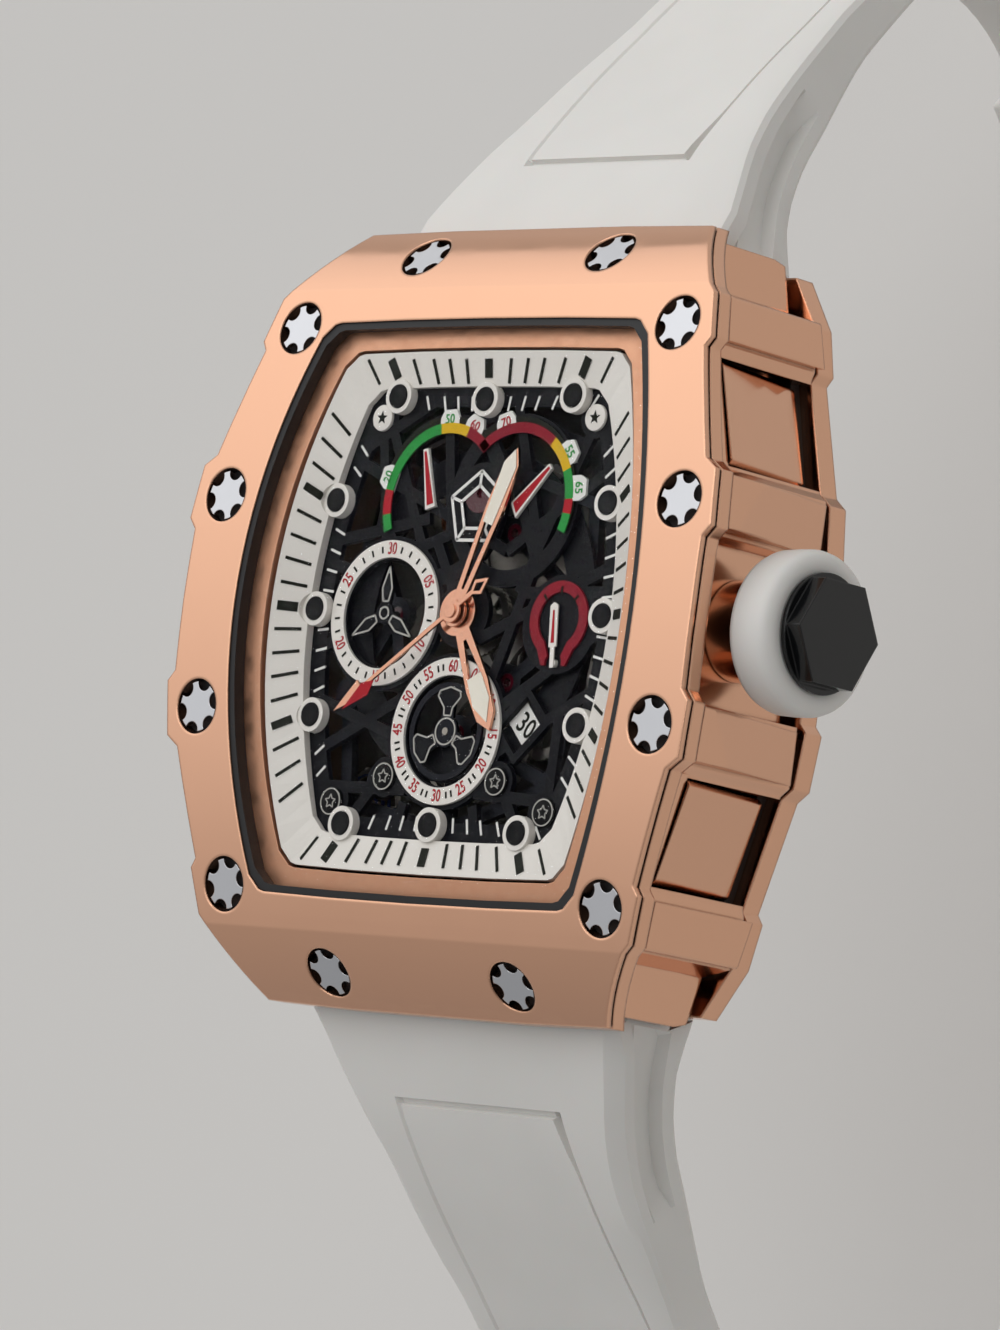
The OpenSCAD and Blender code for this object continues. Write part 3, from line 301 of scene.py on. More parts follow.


# the rose gold's gaps and recesses get painted shade, down to the dark colour given below
roseGold = polishedMetal("polishedRoseGoldPlate", "#E9B596",
                         {"roughness": 0.13, "hazeSize": 3.0, "edge": 0.24, "gap": 0.7,
                          "gapShadeColor": "#2A1710"})
ringGold = polishedMetal("satinRoseGoldPlate", "#D8A384",
                         {"roughness": 0.42, "hazeSize": 1.0, "edge": 0.08})
polishedSteel = polishedMetal("polishedSteel", "#CFD0D4",
                              {"roughness": 0.16, "hazeSize": 1.5, "edge": 0.08})
handGold = polishedMetal("polishedRoseGoldHand", "#DDA58A",
                         {"roughness": 0.2, "hazeSize": 1.0, "edge": 0.05})
blackCeramic = mouldedSurface("polishedBlackCeramic", "#08090A", {
    "roughness": 0.14, "grain": 0.4, "drift": 4, "shade": "#0F1012", "relief": 0.02,
    "edge": 0.16})
whiteRubber = mouldedSurface("mouldedWhiteSilicone", "#E7E5E1", {
    "roughness": 0.46, "ior": 1.41, "grain": 0.12, "drift": 9, "shade": "#DDDBD7",
    "relief": 0.12, "extra": {"Subsurface Weight": 0.08, "Subsurface Scale": 0.4 * mm}})
matt = {"Specular IOR Level": 0.1}  # a matt coat hardly mirrors
blackRubber = mouldedSurface("mouldedBlackRubber", "#101011", {
    "roughness": 0.55, "grain": 0.1, "drift": 3, "shade": "#17171A", "relief": 0.15})
blackDial = mouldedSurface("blackCoatedBrass", "#08080B", {
    "roughness": 0.4, "grain": 0.06, "drift": 1.2, "shade": "#101118", "relief": 0.12,
    "edge": 0.05, "extra": matt})
blackPod = mouldedSurface("blackLacquer", "#08080A", {
    "roughness": 0.3, "grain": 0.3, "drift": 1, "shade": "#0E0E10", "relief": 0.03,
    "edge": 0.08, "extra": matt})
darkSteel = satinMetal("blackenedSteel", "#1A1B1F", {
    "roughness": 0.42, "lineGap": 0.12, "stretch": 14, "worn": "#2A2B30", "relief": 0.25})
greySteel = satinMetal("blastedGreySteel", "#3C3D42", {
    "roughness": 0.45, "lineGap": 0.1, "stretch": 1.0, "worn": "#4C4D52", "relief": 0.2})
plateSteel = satinMetal("greyPlatedBrass", "#34332F", {
    "roughness": 0.5, "lineGap": 0.1, "stretch": 1.0, "worn": "#4A4843", "relief": 0.2})
rhodium = satinMetal("rhodiumPlatedBrass", "#8A867E", {
    "roughness": 0.3, "lineGap": 0.1, "stretch": 10, "worn": "#A39E95", "relief": 0.15})
whiteLacquer = mouldedSurface("whiteLacquer", "#E8E4DD", {
    "roughness": 0.38, "grain": 0.15, "drift": 4, "shade": "#DFDAD2", "relief": 0.05,
    "edge": 0.06})
lumeFill = mouldedSurface("lumePaste", "#F1ECDF", {
    "roughness": 0.6, "grain": 0.08, "drift": 1.0, "shade": "#E6DFCF", "relief": 0.25})
inkLook = {"roughness": 0.5, "grain": 0.08, "drift": 1.5, "relief": 0.05, "extra": matt}
inks = {
    "black": mouldedSurface("blackInk", "#14160F", dict(inkLook, shade="#1D2018")),
    "white": mouldedSurface("whiteInk", "#E9E8E4", dict(inkLook, shade="#DEDDD8")),
    "red": mouldedSurface("redInk", "#B3262E", dict(inkLook, shade="#A21F2A")),
    "deepRed": mouldedSurface("deepRedInk", "#8E1F2C", dict(inkLook, shade="#7E1A28")),
    "green": mouldedSurface("greenInk", "#2F9A45", dict(inkLook, shade="#27873B")),
    "grey": mouldedSurface("greyInk", "#B9B7B0", dict(inkLook, shade="#A9A7A0")),
    "yellow": mouldedSurface("yellowInk", "#DDB62A", dict(inkLook, shade="#CFA51F")),
}
ruby = mouldedSurface("syntheticRuby", "#4A0A18", {
    "roughness": 0.08, "ior": 1.76, "grain": 0.2, "drift": 0.6, "shade": "#3E0815",
    "relief": 0.01, "extra": {"Specular IOR Level": 0.3}})
bluedSteel = satinMetal("bluedSteel", "#2B3C78", {
    "roughness": 0.3, "lineGap": 0.1, "stretch": 4, "worn": "#3C4F92", "relief": 0.1})


glassLook = {"color": "#F4F8FF", "coating": "#8C96C8", "alpha": 0.007, "ior": 1.5,
             "smearSize": 6.0, "smoothest": 0.01, "roughest": 0.05}


# Flat mineral glass with an anti-reflection coating: nearly all light passes
# straight through, and only a faint bluish reflection is left.
def coatedGlass():
    material, tree, shader = startMaterial("coatedMineralGlass", {
        "Base Color": hexColor(glassLook["color"]), "IOR": glassLook["ior"],
        "Alpha": glassLook["alpha"], "Transmission Weight": 1.0,
        "Specular Tint": hexColor(glassLook["coating"])})
    place = addNode(tree, "ShaderNodeTexCoord")
    smear = addNode(tree, "ShaderNodeTexNoise", {
        "Vector": place.outputs["Object"], "Scale": 1 / (glassLook["smearSize"] * mm),
        "Detail": 2.0})
    gloss = addNode(tree, "ShaderNodeMapRange", {
        "Value": smear.outputs["Fac"], "To Min": glassLook["smoothest"],
        "To Max": glassLook["roughest"]})
    tree.links.new(gloss.outputs["Result"], shader.inputs["Roughness"])
    return material


glass = coatedGlass()

dress = {
    "bezel": roseGold, "inner_ring": ringGold, "mid_case": roseGold, "case_back": roseGold,
    "crown_tube": roseGold, "crown_body": roseGold, "pusher_two": roseGold,
    "pusher_four": roseGold, "rotor_weight": roseGold, "buckle_frame": roseGold,
    "buckle_tang": roseGold, "hour_hand": handGold, "minute_hand": handGold,
    "seconds_hand": handGold, "bezel_screws": polishedSteel, "back_screws": polishedSteel,
    "counter_hand": blackDial, "crystal": glass, "back_crystal": glass,
    "bezel_gasket": blackRubber, "crystal_gasket": blackRubber, "back_gasket": blackRubber,
    "crown_cap": blackCeramic, "hour_markers": blackPod, "dial_plate": blackDial,
    "train_bridge": darkSteel, "date_disc": blackDial, "mainplate": plateSteel,
    "rotor": greySteel, "crown_stem": greySteel, "seconds_arbor": rhodium,
    "small_seconds": darkSteel, "pallet_fork": rhodium, "strap_bars": greySteel,
    "spring_bar": greySteel, "flange": whiteLacquer, "counter_ring_nine": whiteLacquer,
    "counter_ring_six": whiteLacquer, "function_hand": whiteLacquer,
    "gauge_arc": inks["black"], "gauge_pointers": whiteLacquer,
    "function_scale": inks["deepRed"], "jewels": ruby, "barrel_drum": rhodium,
    "minute_tube": rhodium, "hour_tube": rhodium, "third_wheel": rhodium,
    "fourth_wheel": rhodium, "escape_wheel": rhodium, "balance_wheel": rhodium,
    "hairspring": bluedSteel,
}
for nodeName, material in dress.items():
    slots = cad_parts[nodeName].material_slots
    for holder in slots:
        holder.material = material
    if not slots:
        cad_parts[nodeName].data.materials.append(material)
print("materials ready:", len(dress), "CAD nodes dressed")


# Rubber strap, in millimetres along its middle line.

strap = {
    "start": (25.2, 3.6),        # y and z of the middle line where it leaves the case
    # in the case: y, height, outer and inner half thickness
    "root": ((21.8, 4.2, 2.4, 2.38), (24.16, 4.2, 2.42, 2.36), (24.24, 4.2, 3.2, 2.34)),
    # the tables below go by the length along the middle line; first its fall in degrees
    "turnTwelve": ((0, 28), (6, 34), (12, 37), (22, 42), (30, 46), (44, 90), (51, 90),
                   (63, 135), (90, 135)),
    "turnSix": ((0, 28), (6, 34), (12, 39), (22, 42), (36, 90), (60, 90), (90, 180),
                (140, 180)),
    # thickness outward and inward from the middle line
    "above": ((0, 2.93), (5.6, 2.88), (12.4, 2.4), (17.7, 1.95), (26, 1.6), (34, 1.55),
              (140, 1.55)),
    "below": ((0, 4.3), (3, 2.93), (6, 2.58), (12.4, 2.4), (17.7, 1.95), (26, 1.6),
              (34, 1.55), (140, 1.55)),
    "halfWidth": ((0, 13.36), (2, 12.75), (4, 12.05), (6, 11.4), (8.9, 10.65), (14, 10.0),
                  (19.4, 9.3), (112, 9.3), (115, 8.4), (117, 6.6), (118, 4.6)),
    # how deep the groove along each side is
    "sideDip": ((0, 0.7), (3, 0.9), (10.4, 0.9), (12.4, 0.0), (140, 0.0)),
    # how far the slant between the outer face and the side reaches in
    "softTwelve": ((0, 0), (140, 0)), "softSix": ((0, 0.7), (8, 0.5), (16, 0), (140, 0)),
    # the side's outline, outer part, then inner part: inward with its shares of the
    # slant and the groove, then share of the thickness, down with its share of the slant
    "outerSide": ((0.75, 1, 0, 1, 0, 0), (0.25, 0.85, 0, 1, 0.14, 0.4),
                  (0, 0.5, 0, 1, 0.5, 0.5), (0, 0.3, 0, 0.46, 0, 0), (0, 0, 1, 0.36, 0, 0)),
    "innerSide": ((0, 0, 1, -0.32, 0, 0), (0, 0, 0, -0.44, 0, 0), (0, 0, 0, -1, -0.45, 0),
                  (0.15, 0, 0, -1, -0.13, 0), (0.5, 0, 0, -1, 0, 0)),
    # a panel is outlined by a groove that is wide and deep at its near right corner
    "panelHalf": 7.0, "panelTwelve": 4.2, "panelSix": 3.7, "panelTo": 31,
    "crossDeep": 0.38, "crossLong": 0.55, "nearFloor": 0.8, "wallSlant": 0.08,
    "idleNear": 0.3, "idleFar": 0.26,
    "nearWide": ((0, 0.8), (4.6, 0.16), (140, 0.16)),
    "nearDeep": ((0, 0.9), (4.6, 0.16), (140, 0.08)), "farWide": 0.3, "farDeep": 0.26,
    # where sections stand: near the case, round a panel's ends, along it and after it
    "rootMarks": (0, 1.2, 2.4, 3.4), "endFold": 0.06, "crossFold": 0.02,
    "panelEvery": 1.4, "tailEvery": 1.5, "tailFree": 3, "stepsPerMm": 4,
    # the last sections: past the full length, then half thickness
    "twelveLength": 75, "twelveEnd": ((-2, 1.55), (-0.8, 1.6)),
    # the knuckle's radius, how far it is lifted, and its turns in radians
    "knuckle": 1.65, "knuckleRise": 0.02, "knuckleTurns": (0, 0.35, 0.7, 1.05, 1.35, 1.5),
    "sixLength": 118, "sixEnd": ((-2.5, 1.55), (-1.2, 1.5), (-0.5, 1.3), (0, 0.9)),
    # the bar's bore and the tang's slot at the buckle, and the holes of the tail
    "buckleTurn": 225, "bore": 0.8, "boreLong": 30, "slotSize": (3, 10, 8), "slotAt": 1.8,
    "holeRadius": 1.15, "holeEvery": 4, "firstHole": 8, "holes": 7, "holeReach": 4,
    "crisp": 24,                 # edges sharper than this many degrees stay sharp
}


def lookUp(x, table):
    for (x0, v0), (x1, v1) in zip(table, table[1:]):
        if x <= x1:
            return v0 + (v1 - v0) * max(0, x - x0) / (x1 - x0)
    return table[-1][1]


def strapPlace(turns, s):
    # the middle line at a length s, and its fall below the horizon
    y, z = strap["start"]
    steps = max(1, int(s * strap["stepsPerMm"]))
    for i in range(steps):
        a = math.radians(lookUp((i + 0.5) * s / steps, turns))
        y, z = y + s / steps * math.cos(a), z - s / steps * math.sin(a)
    return y, z, math.radians(lookUp(s, turns))


def strapSection(half, thick, under, panel, dip, soft):
    # across and out from the middle, from the outer middle round to the inner middle
    at, cross, wide, deep, farWide, farDeep = panel
    side = [(half - inward - soft * softShare - dip * dipShare,
             depth * share - down - soft * softDown)
            for rows, depth in ((strap["outerSide"], thick), (strap["innerSide"], under))
            for inward, softShare, dipShare, share, down, softDown in rows]
    floor = thick - max(cross, deep)
    right = [(0, thick - cross), (at - wide, thick - cross),
             (at - wide * strap["nearFloor"], floor), (at, floor),
             (at + strap["wallSlant"], thick)]
    left = [(-at - farWide, thick), (-at, thick - max(cross, farDeep)),
            (-at + strap["wallSlant"], thick - cross)]
    return right + side + [(0, -under)] + [(-x, z) for x, z in side[::-1]] + left


def makeStrap(side, stations):
    bm = bmesh.new()
    count = len(strapSection(*stations[0][3:]))
    ring = list(bmesh.ops.create_circle(bm, segments=count, radius=mm)["verts"])
    edges = list(bm.edges)
    for index, (y, z, fall, *section) in enumerate(stations):
        if index:
            grown = bmesh.ops.extrude_edge_only(bm, edges=edges)["geom"]
            edges = [g for g in grown if isinstance(g, bmesh.types.BMEdge)]
            newVerts = {g for g in grown if isinstance(g, bmesh.types.BMVert)}
            ring = [next(e.other_vert(v) for e in v.link_edges if e.other_vert(v) in newVerts)
                    for v in ring]
        for vert, (x, out) in zip(ring, strapSection(*section)):
            vert.co = Vector((x, side * (y + out * math.sin(fall)),
                              z + out * math.cos(fall))) * mm
    ends = [e for e in bm.edges if e.is_boundary]
    bmesh.ops.holes_fill(bm, edges=ends, sides=count)
    return bm


noPanel = (strap["panelHalf"], 0, strap["idleNear"], 0, strap["idleFar"], 0)


def panelAt(s, start):
    # half width, the cross groove's depth, then how wide and deep the near and far ones are
    if not start < s < strap["panelTo"]:
        return noPanel
    cross = strap["crossDeep"] if s < start + strap["crossLong"] else 0
    return (strap["panelHalf"], cross, lookUp(s - start, strap["nearWide"]),
            lookUp(s - start, strap["nearDeep"]), strap["farWide"], strap["farDeep"])


def strapStations(turns, length, end, start, soft):
    half = lookUp(0, strap["halfWidth"])
    stations = [(y, z, 0, half, above, below, noPanel, 0, 0)
                for y, z, above, below in strap["root"]]
    stop, cross, every, tail = (strap[k] for k in (
        "panelTo", "crossLong", "panelEvery", "tailEvery"))
    marks = [*strap["rootMarks"], start, start + strap["endFold"],
             start + cross - strap["crossFold"], start + cross]
    marks += [start + every * i for i in range(1, int((stop - start) / every))]
    marks += [stop - strap["endFold"], stop]
    marks += [stop + tail * i
              for i in range(1, int((length - strap["tailFree"] - stop) / tail) + 1)]
    for s in marks:
        stations.append((*strapPlace(turns, s), lookUp(s, strap["halfWidth"]),
                         lookUp(s, strap["above"]), lookUp(s, strap["below"]),
                         panelAt(s, start), lookUp(s, strap["sideDip"]), lookUp(s, soft)))
    for past, thick in end:
        half = lookUp(min(length + past, length), strap["halfWidth"])
        stations.append((*strapPlace(turns, length + past), half, thick, thick, noPanel, 0, 0))
    return stations


def cutAway(piece, cutters):
    # takes the cutters out of the piece, with the result written into its mesh
    cut = bpy.data.objects.new("cutter", bpy.data.meshes.new("cutter"))
    cutters.to_mesh(cut.data)
    cutters.free()
    bpy.context.scene.collection.objects.link(cut)
    step = piece.modifiers.new("cut", "BOOLEAN")
    step.operation = "DIFFERENCE"
    step.object = cut
    step.solver = "FAST"
    bpy.context.view_layer.update()
    seen = piece.evaluated_get(bpy.context.evaluated_depsgraph_get())
    mesh = bpy.data.meshes.new_from_object(seen)
    piece.modifiers.clear()
    piece.data = mesh
    mesh.set_sharp_from_angle(angle=math.radians(strap["crisp"]))
    bpy.data.objects.remove(cut)


knuckleEnd = [(strap["knuckle"] * math.sin(a), strap["knuckle"] * math.cos(a)
               + strap["knuckleRise"]) for a in strap["knuckleTurns"]]
bm = makeStrap(1, strapStations(strap["turnTwelve"], strap["twelveLength"],
                                [*strap["twelveEnd"], *knuckleEnd], strap["panelTwelve"],
                                strap["softTwelve"]))
strapTwelve = finishPiece(bm, "strapTwelve", whiteRubber, "case", strap["crisp"])
buckleY, buckleZ = strapPlace(strap["turnTwelve"], strap["twelveLength"])[:2]
buckleAt = Matrix.Translation((0, buckleY * mm, buckleZ * mm)) @ Matrix.Rotation(
    math.radians(strap["buckleTurn"]), 4, "X")
cutters = bmesh.new()
bmesh.ops.create_cone(cutters, cap_ends=True, segments=24, radius1=strap["bore"] * mm,
                      radius2=strap["bore"] * mm, depth=strap["boreLong"] * mm,
                      matrix=buckleAt @ Matrix.Rotation(math.radians(90), 4, "Y"))
slotSize = Matrix.Diagonal((*[length * mm for length in strap["slotSize"]], 1))
bmesh.ops.create_cube(cutters, size=1, matrix=buckleAt @ Matrix.Translation(
    (0, strap["slotAt"] * mm, 0)) @ slotSize)
cutAway(strapTwelve, cutters)
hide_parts("strap_upper")

bm = makeStrap(-1, strapStations(strap["turnSix"], strap["sixLength"], strap["sixEnd"],
                                 strap["panelSix"], strap["softSix"]))
strapSix = finishPiece(bm, "strapSix", whiteRubber, "case", strap["crisp"])
tipY, tipZ = strapPlace(strap["turnSix"], strap["sixLength"])[:2]
cutters = bmesh.new()
for i in range(strap["holes"]):
    addDisc(cutters, 0, -(tipY + strap["firstHole"] + i * strap["holeEvery"]),
            strap["holeRadius"], tipZ - strap["holeReach"], tipZ + strap["holeReach"])
cutAway(strapSix, cutters)
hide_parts("strap_lower")

keepers = {"wide": 21.4, "wall": 1.05, "low": -2.65, "high": 6.5, "length": 2.4, "soft": 0.35,
           "fixedAt": -6.2, "looseAt": -9.8, "crisp": 40}


def makeKeeper(name, at, body, node):
    middle = (keepers["low"] + keepers["high"]) / 2
    size = (keepers["wide"], keepers["length"], keepers["high"] - keepers["low"])
    bm = bmesh.new()
    bmesh.ops.create_cube(bm, size=1, matrix=Matrix.Diagonal((*[s * mm for s in size], 1)))
    sides = [f for f in bm.faces if abs(f.normal.y) > 0.9]
    bmesh.ops.inset_individual(bm, faces=sides, thickness=keepers["wall"] * mm)
    rims = [list(f.edges) for f in sides]
    bmesh.ops.delete(bm, geom=sides, context="FACES_ONLY")
    bmesh.ops.bridge_loops(bm, edges=rims[0] + rims[1])
    bmesh.ops.bevel(bm, geom=list(bm.edges), offset=keepers["soft"] * mm, segments=3,
                    profile=0.5, affect="EDGES", material=-1)
    place = buckleAt @ Matrix.Translation((0, (at + keepers["length"] / 2) * mm, middle * mm))
    bmesh.ops.transform(bm, matrix=place, verts=bm.verts)
    piece = finishPiece(bm, name, whiteRubber, body, keepers["crisp"])
    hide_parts(node)


makeKeeper("fixedKeeper", keepers["fixedAt"], "case", "fixed_keeper")
makeKeeper("looseKeeper", keepers["looseAt"], "keeper", "loose_keeper")
print("strap ready")


# Crown grip: a turned rubber ring.

crownGrip = {"x": 23.0, "z": 7.1, "steps": 96, "crisp": 50, "profile": (
    (0.12, 3.14), (-0.2, 3.9), (-0.3, 4.5), (-0.15, 4.85), (0.25, 5.02), (1.3, 5.08),
    (2.1, 5.08), (2.5, 4.96), (2.75, 4.7), (2.86, 4.3), (2.88, 3.85), (2.8, 3.72),
    (2.78, 3.14))}
bm = bmesh.new()
path = [bm.verts.new(((crownGrip["x"] + x) * mm, 0, (crownGrip["z"] + r) * mm))
        for x, r in crownGrip["profile"]]
loop = [bm.edges.new((a, b)) for a, b in zip(path, path[1:] + path[:1])]
bmesh.ops.spin(bm, geom=path + loop, cent=(0, 0, crownGrip["z"] * mm), axis=(1, 0, 0),
               angle=math.tau, steps=crownGrip["steps"], use_merge=True)
grip = finishPiece(bm, "crownGrip", whiteRubber, "crown", crownGrip["crisp"])
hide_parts("crown_ring")
print("crown ready")


# Dial: minute track on the sloped flange, and the ticks on the black rim.

dial = {
    # half width, half width at the end, half height, rise, share of the crystal's curve
    "near": (13.0, 9.95, 14.2, 0.3, 0.22),
    "far": (15.2, 11.85, 16.4, 0.8, 0.8),
    "curve": 102.0,
    "tickFrom": 0.14, "hourFrom": 0.3, "tickTo": 0.84, "tickWide": 0.21, "hourWide": 0.62,
    "rimFrom": 0.42, "rimLong": 0.95, "rimWide": 0.16,
    "ink": 0.03, "sunk": 0.02,   # a print's height, and how far a piece reaches into its base
    # where the first sixteen minutes stand, in degrees from twelve
    "angles": (0, 6.9, 12, 16.7, 22.3, 28, 33.4, 45.7, 50.7, 55.9, 61.2, 66.7, 72.4, 78.1,
               84.1, 90),
}


ink, sunk = dial["ink"], dial["sunk"]


def onOutline(degrees, outline):
    wide, end, high, rise, share = outline
    s, c = abs(math.sin(math.radians(degrees))), abs(math.cos(math.radians(degrees)))
    if s * high <= end * c:
        reach = high / c
    elif c < 1e-6:
        reach = wide
    else:
        a = (wide - end) * c * c / high ** 2
        reach = (-s + math.sqrt(s * s + 4 * a * wide)) / (2 * a)
    x, y = clockPoint(degrees, reach)
    crown = math.sqrt(dial["curve"] ** 2 - y * y) - math.sqrt(
        dial["curve"] ** 2 - dial["far"][2] ** 2)
    return Vector((x, y, dialTop + rise + share * max(0, crown)))


def minuteAngle(minute):
    quarter, step = divmod(minute, 15)
    if quarter % 2:
        return 90 * quarter + 90 - dial["angles"][15 - step]
    return 90 * quarter + dial["angles"][step]


minuteTrack = bmesh.new()
rimTicks = bmesh.new()
for minute in range(60):
    near, far = (onOutline(minuteAngle(minute), dial[side]) for side in ("near", "far"))
    lift = Vector((0, 0, ink / 2))
    kind = "tick" if minute % 5 else "hour"
    addBar(minuteTrack, near.lerp(far, dial[kind + "From"]) + lift,
           near.lerp(far, dial["tickTo"]) + lift, dial[kind + "Wide"], ink + sunk)
    if minute % 5:
        inward = -Vector((near.x, near.y, 0)).normalized()
        start = Vector((near.x, near.y, dialTop + ink / 2))
        addBar(rimTicks, start + inward * dial["rimFrom"],
               start + inward * (dial["rimFrom"] + dial["rimLong"]), dial["rimWide"], ink)
finishPiece(minuteTrack, "minuteTrack", inks["black"], "case")
finishPiece(rimTicks, "rimTicks", inks["white"], "case")


# Two counters: numbers and ticks on the white rings.

counters = {
    # one mark a minute; each fifth is a number, and `ticks` says which others are drawn
    "nine": {"centre": (-6.7, -0.1), "marks": 30, "ticks": (1, 2, 3, 4)},
    "six": {"centre": (0, -7.45), "marks": 60, "ticks": (2, 3)},
    "every": 5, "numberAt": 4.08, "tall": 0.78, "narrow": 0.72,
    "tickLong": 0.42, "tickWide": 0.13,
}
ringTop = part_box("counter_ring_six")[1][2] / mm
for name in ("nine", "six"):
    spec = counters[name]
    numbers, ticks = bmesh.new(), bmesh.new()
    for i in range(spec["marks"]):
        angle = 360 * i / spec["marks"]
        if i % counters["every"] == 0:
            turn = -angle if angle <= 90 or angle >= 270 else 180 - angle
            x, y = clockPoint(angle, counters["numberAt"], spec["centre"])
            addNumber(numbers, "%02d" % (i or spec["marks"]), counters["tall"], x, y, turn,
                      ringTop, ringTop + ink, counters["narrow"])
        elif i % counters["every"] in spec["ticks"]:
            a, b = (clockPoint(angle, counters["numberAt"] + side * counters["tickLong"] / 2,
                               spec["centre"]) for side in (-1, 1))
            addBar(ticks, (*a, ringTop + ink / 2), (*b, ringTop + ink / 2),
                   counters["tickWide"], ink)
    finishPiece(numbers, "counterNumbers." + name, inks["red"], "case")
    finishPiece(ticks, "counterTicks." + name, inks["black"], "case")


# Coloured gauge: two arcs that meet in a point, tags and pointers.

gauge = {
    "left": (-2.99, 7.02), "right": (3.18, 7.05), "inner": 4.4, "outer": 5.06, "high": 0.05,
    "leftArc": ((203, 190, "green"), (190, 171, "red"), (171, 100, "green"),
                (100, 71, "yellow"), (71, 45.5, "deepRed")),
    "rightArc": ((134.5, 54, "deepRed"), (54, 26, "yellow"), (26, 3, "green"),
                 (3, -8, "red"), (-8, -22, "green")),
    "tags": (("20", -7.95, 8.6, 75, "green"), ("50", -3.2, 12.3, 4, "green"),
             ("60", -0.95, 11.9, -22, "red"), ("70", 1.7, 12.1, 18, "red"),
             ("55", 7.45, 10.25, -55, "green"), ("65", 8.6, 8.0, -86, "green")),
    "house": ((-0.8, -0.75), (0.8, -0.75), (0.8, 0.1), (0.5, 0.62), (-0.5, 0.62), (-0.8, 0.1)),
    "tagHigh": 0.18, "tall": 0.62, "narrow": 0.95,
    "pointers": (((-3.66, 6.95), (-4.18, 6.78), (-5.02, 10.2), (-4.85, 10.25)),
                 ((3.27, 7.0), (3.62, 6.36), (6.02, 9.19), (5.9, 9.32))),
}
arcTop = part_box("gauge_arc")[1][2] / mm
arcs = {color: bmesh.new() for color in ("green", "yellow", "red", "deepRed")}
for side in ("left", "right"):
    for start, stop, color in gauge[side + "Arc"]:
        addArc(arcs[color], gauge[side], gauge["inner"], gauge["outer"], start, stop,
               arcTop - sunk, arcTop + gauge["high"])
for color, bm in arcs.items():
    finishPiece(bm, "gauge." + color, inks[color], "case")
tagPlates, tagNumbers = bmesh.new(), {"green": bmesh.new(), "red": bmesh.new()}
tagTop = dialTop + gauge["tagHigh"]
for words, x, y, turn, color in gauge["tags"]:
    addPlate(tagPlates, turnedBy(gauge["house"], turn, (x, y)), dialTop - sunk, tagTop)
    addNumber(tagNumbers[color], words, gauge["tall"], x, y, turn, tagTop, tagTop + ink,
              gauge["narrow"])
finishPiece(tagPlates, "gaugeTags", inks["white"], "case")
finishPiece(tagNumbers["green"], "tagNumbers.green", inks["green"], "case")
finishPiece(tagNumbers["red"], "tagNumbers.red", inks["red"], "case")

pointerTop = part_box("gauge_pointers")[1][2] / mm
pointerFill = bmesh.new()
for outline in gauge["pointers"]:
    addPlate(pointerFill, outline, pointerTop, pointerTop + ink)
finishPiece(pointerFill, "pointerFill", inks["red"], "case")
print("dial printing ready")


# Hands: lume in the gold frames, red on the seconds hand.

hands = {
    # turn, height of the frame's floor above the hand's underside, outline of the fill
    "hour": {"turn": -151, "high": 0.2, "fill": ((-0.6, 4.55), (0.6, 4.55), (0.72, 6.4),
                                                 (0, 7.8), (-0.72, 6.4))},
    "minute": {"turn": -19, "high": 0.2, "fill": ((-0.42, 5.9), (0.42, 5.9), (0.56, 9.85),
                                                  (0, 10.85), (-0.56, 9.85))},
    "seconds": {"turn": 128, "high": 0.15, "fill": ((0, 7.4), (0.5, 8.3), (0, 10.5),
                                                    (-0.5, 8.3))},
    "paste": 0.04,
}
for name, material, slot in (("hour", lumeFill, "white_print"), ("minute", lumeFill, "white_print"),
                             ("seconds", inks["red"], "red_print")):
    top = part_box(name + "_hand")[0][2] / mm + hands[name]["high"]
    bm = bmesh.new()
    addPlate(bm, turnedBy(hands[name]["fill"], hands[name]["turn"]), top, top + hands["paste"])
    finishPiece(bm, name + "Fill", material, name)


# Small dial fittings: date card, star screws, five-sided frame, selector.

fittings = {
    "date": (6.2, -6.85), "dateTurn": -46, "numberTurn": -34, "dateSize": (2.3, 1.85),
    "cardHigh": 0.04, "tall": 1.35, "narrow": 0.8,
    "whiteStars": ((-9.2, 12.4), (9.2, 12.4)), "whiteRadius": 0.85, "whiteHigh": 0.2,
    "whiteStar": (0.45, 0.42),   # radius and waist
    "blackStars": ((-9.2, -12.2), (9.2, -12.2), (-4.85, -10.45), (4.85, -10.45)),
    "blackRadius": 0.95, "blackHigh": 0.18, "blackStar": (0.46, 0.5),
    "ringFrom": 0.78, "ringTo": 0.86, "starLine": 0.07, "printHigh": 0.04, "headEdge": 0.06,
    "crisp": 30,
}
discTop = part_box("date_disc")[1][2] / mm
halfW, halfH = (side / 2 for side in fittings["dateSize"])
card, cardNumber = bmesh.new(), bmesh.new()
cardTop = discTop + fittings["cardHigh"]
addPlate(card, turnedBy([(-halfW, -halfH), (halfW, -halfH), (halfW, halfH), (-halfW, halfH)],
                        fittings["dateTurn"], fittings["date"]), discTop, cardTop)
addNumber(cardNumber, "30", fittings["tall"], *fittings["date"], fittings["numberTurn"], cardTop,
          cardTop + ink, fittings["narrow"])
finishPiece(card, "dateCard", inks["white"], "date")
finishPiece(cardNumber, "dateNumber", inks["black"], "date")

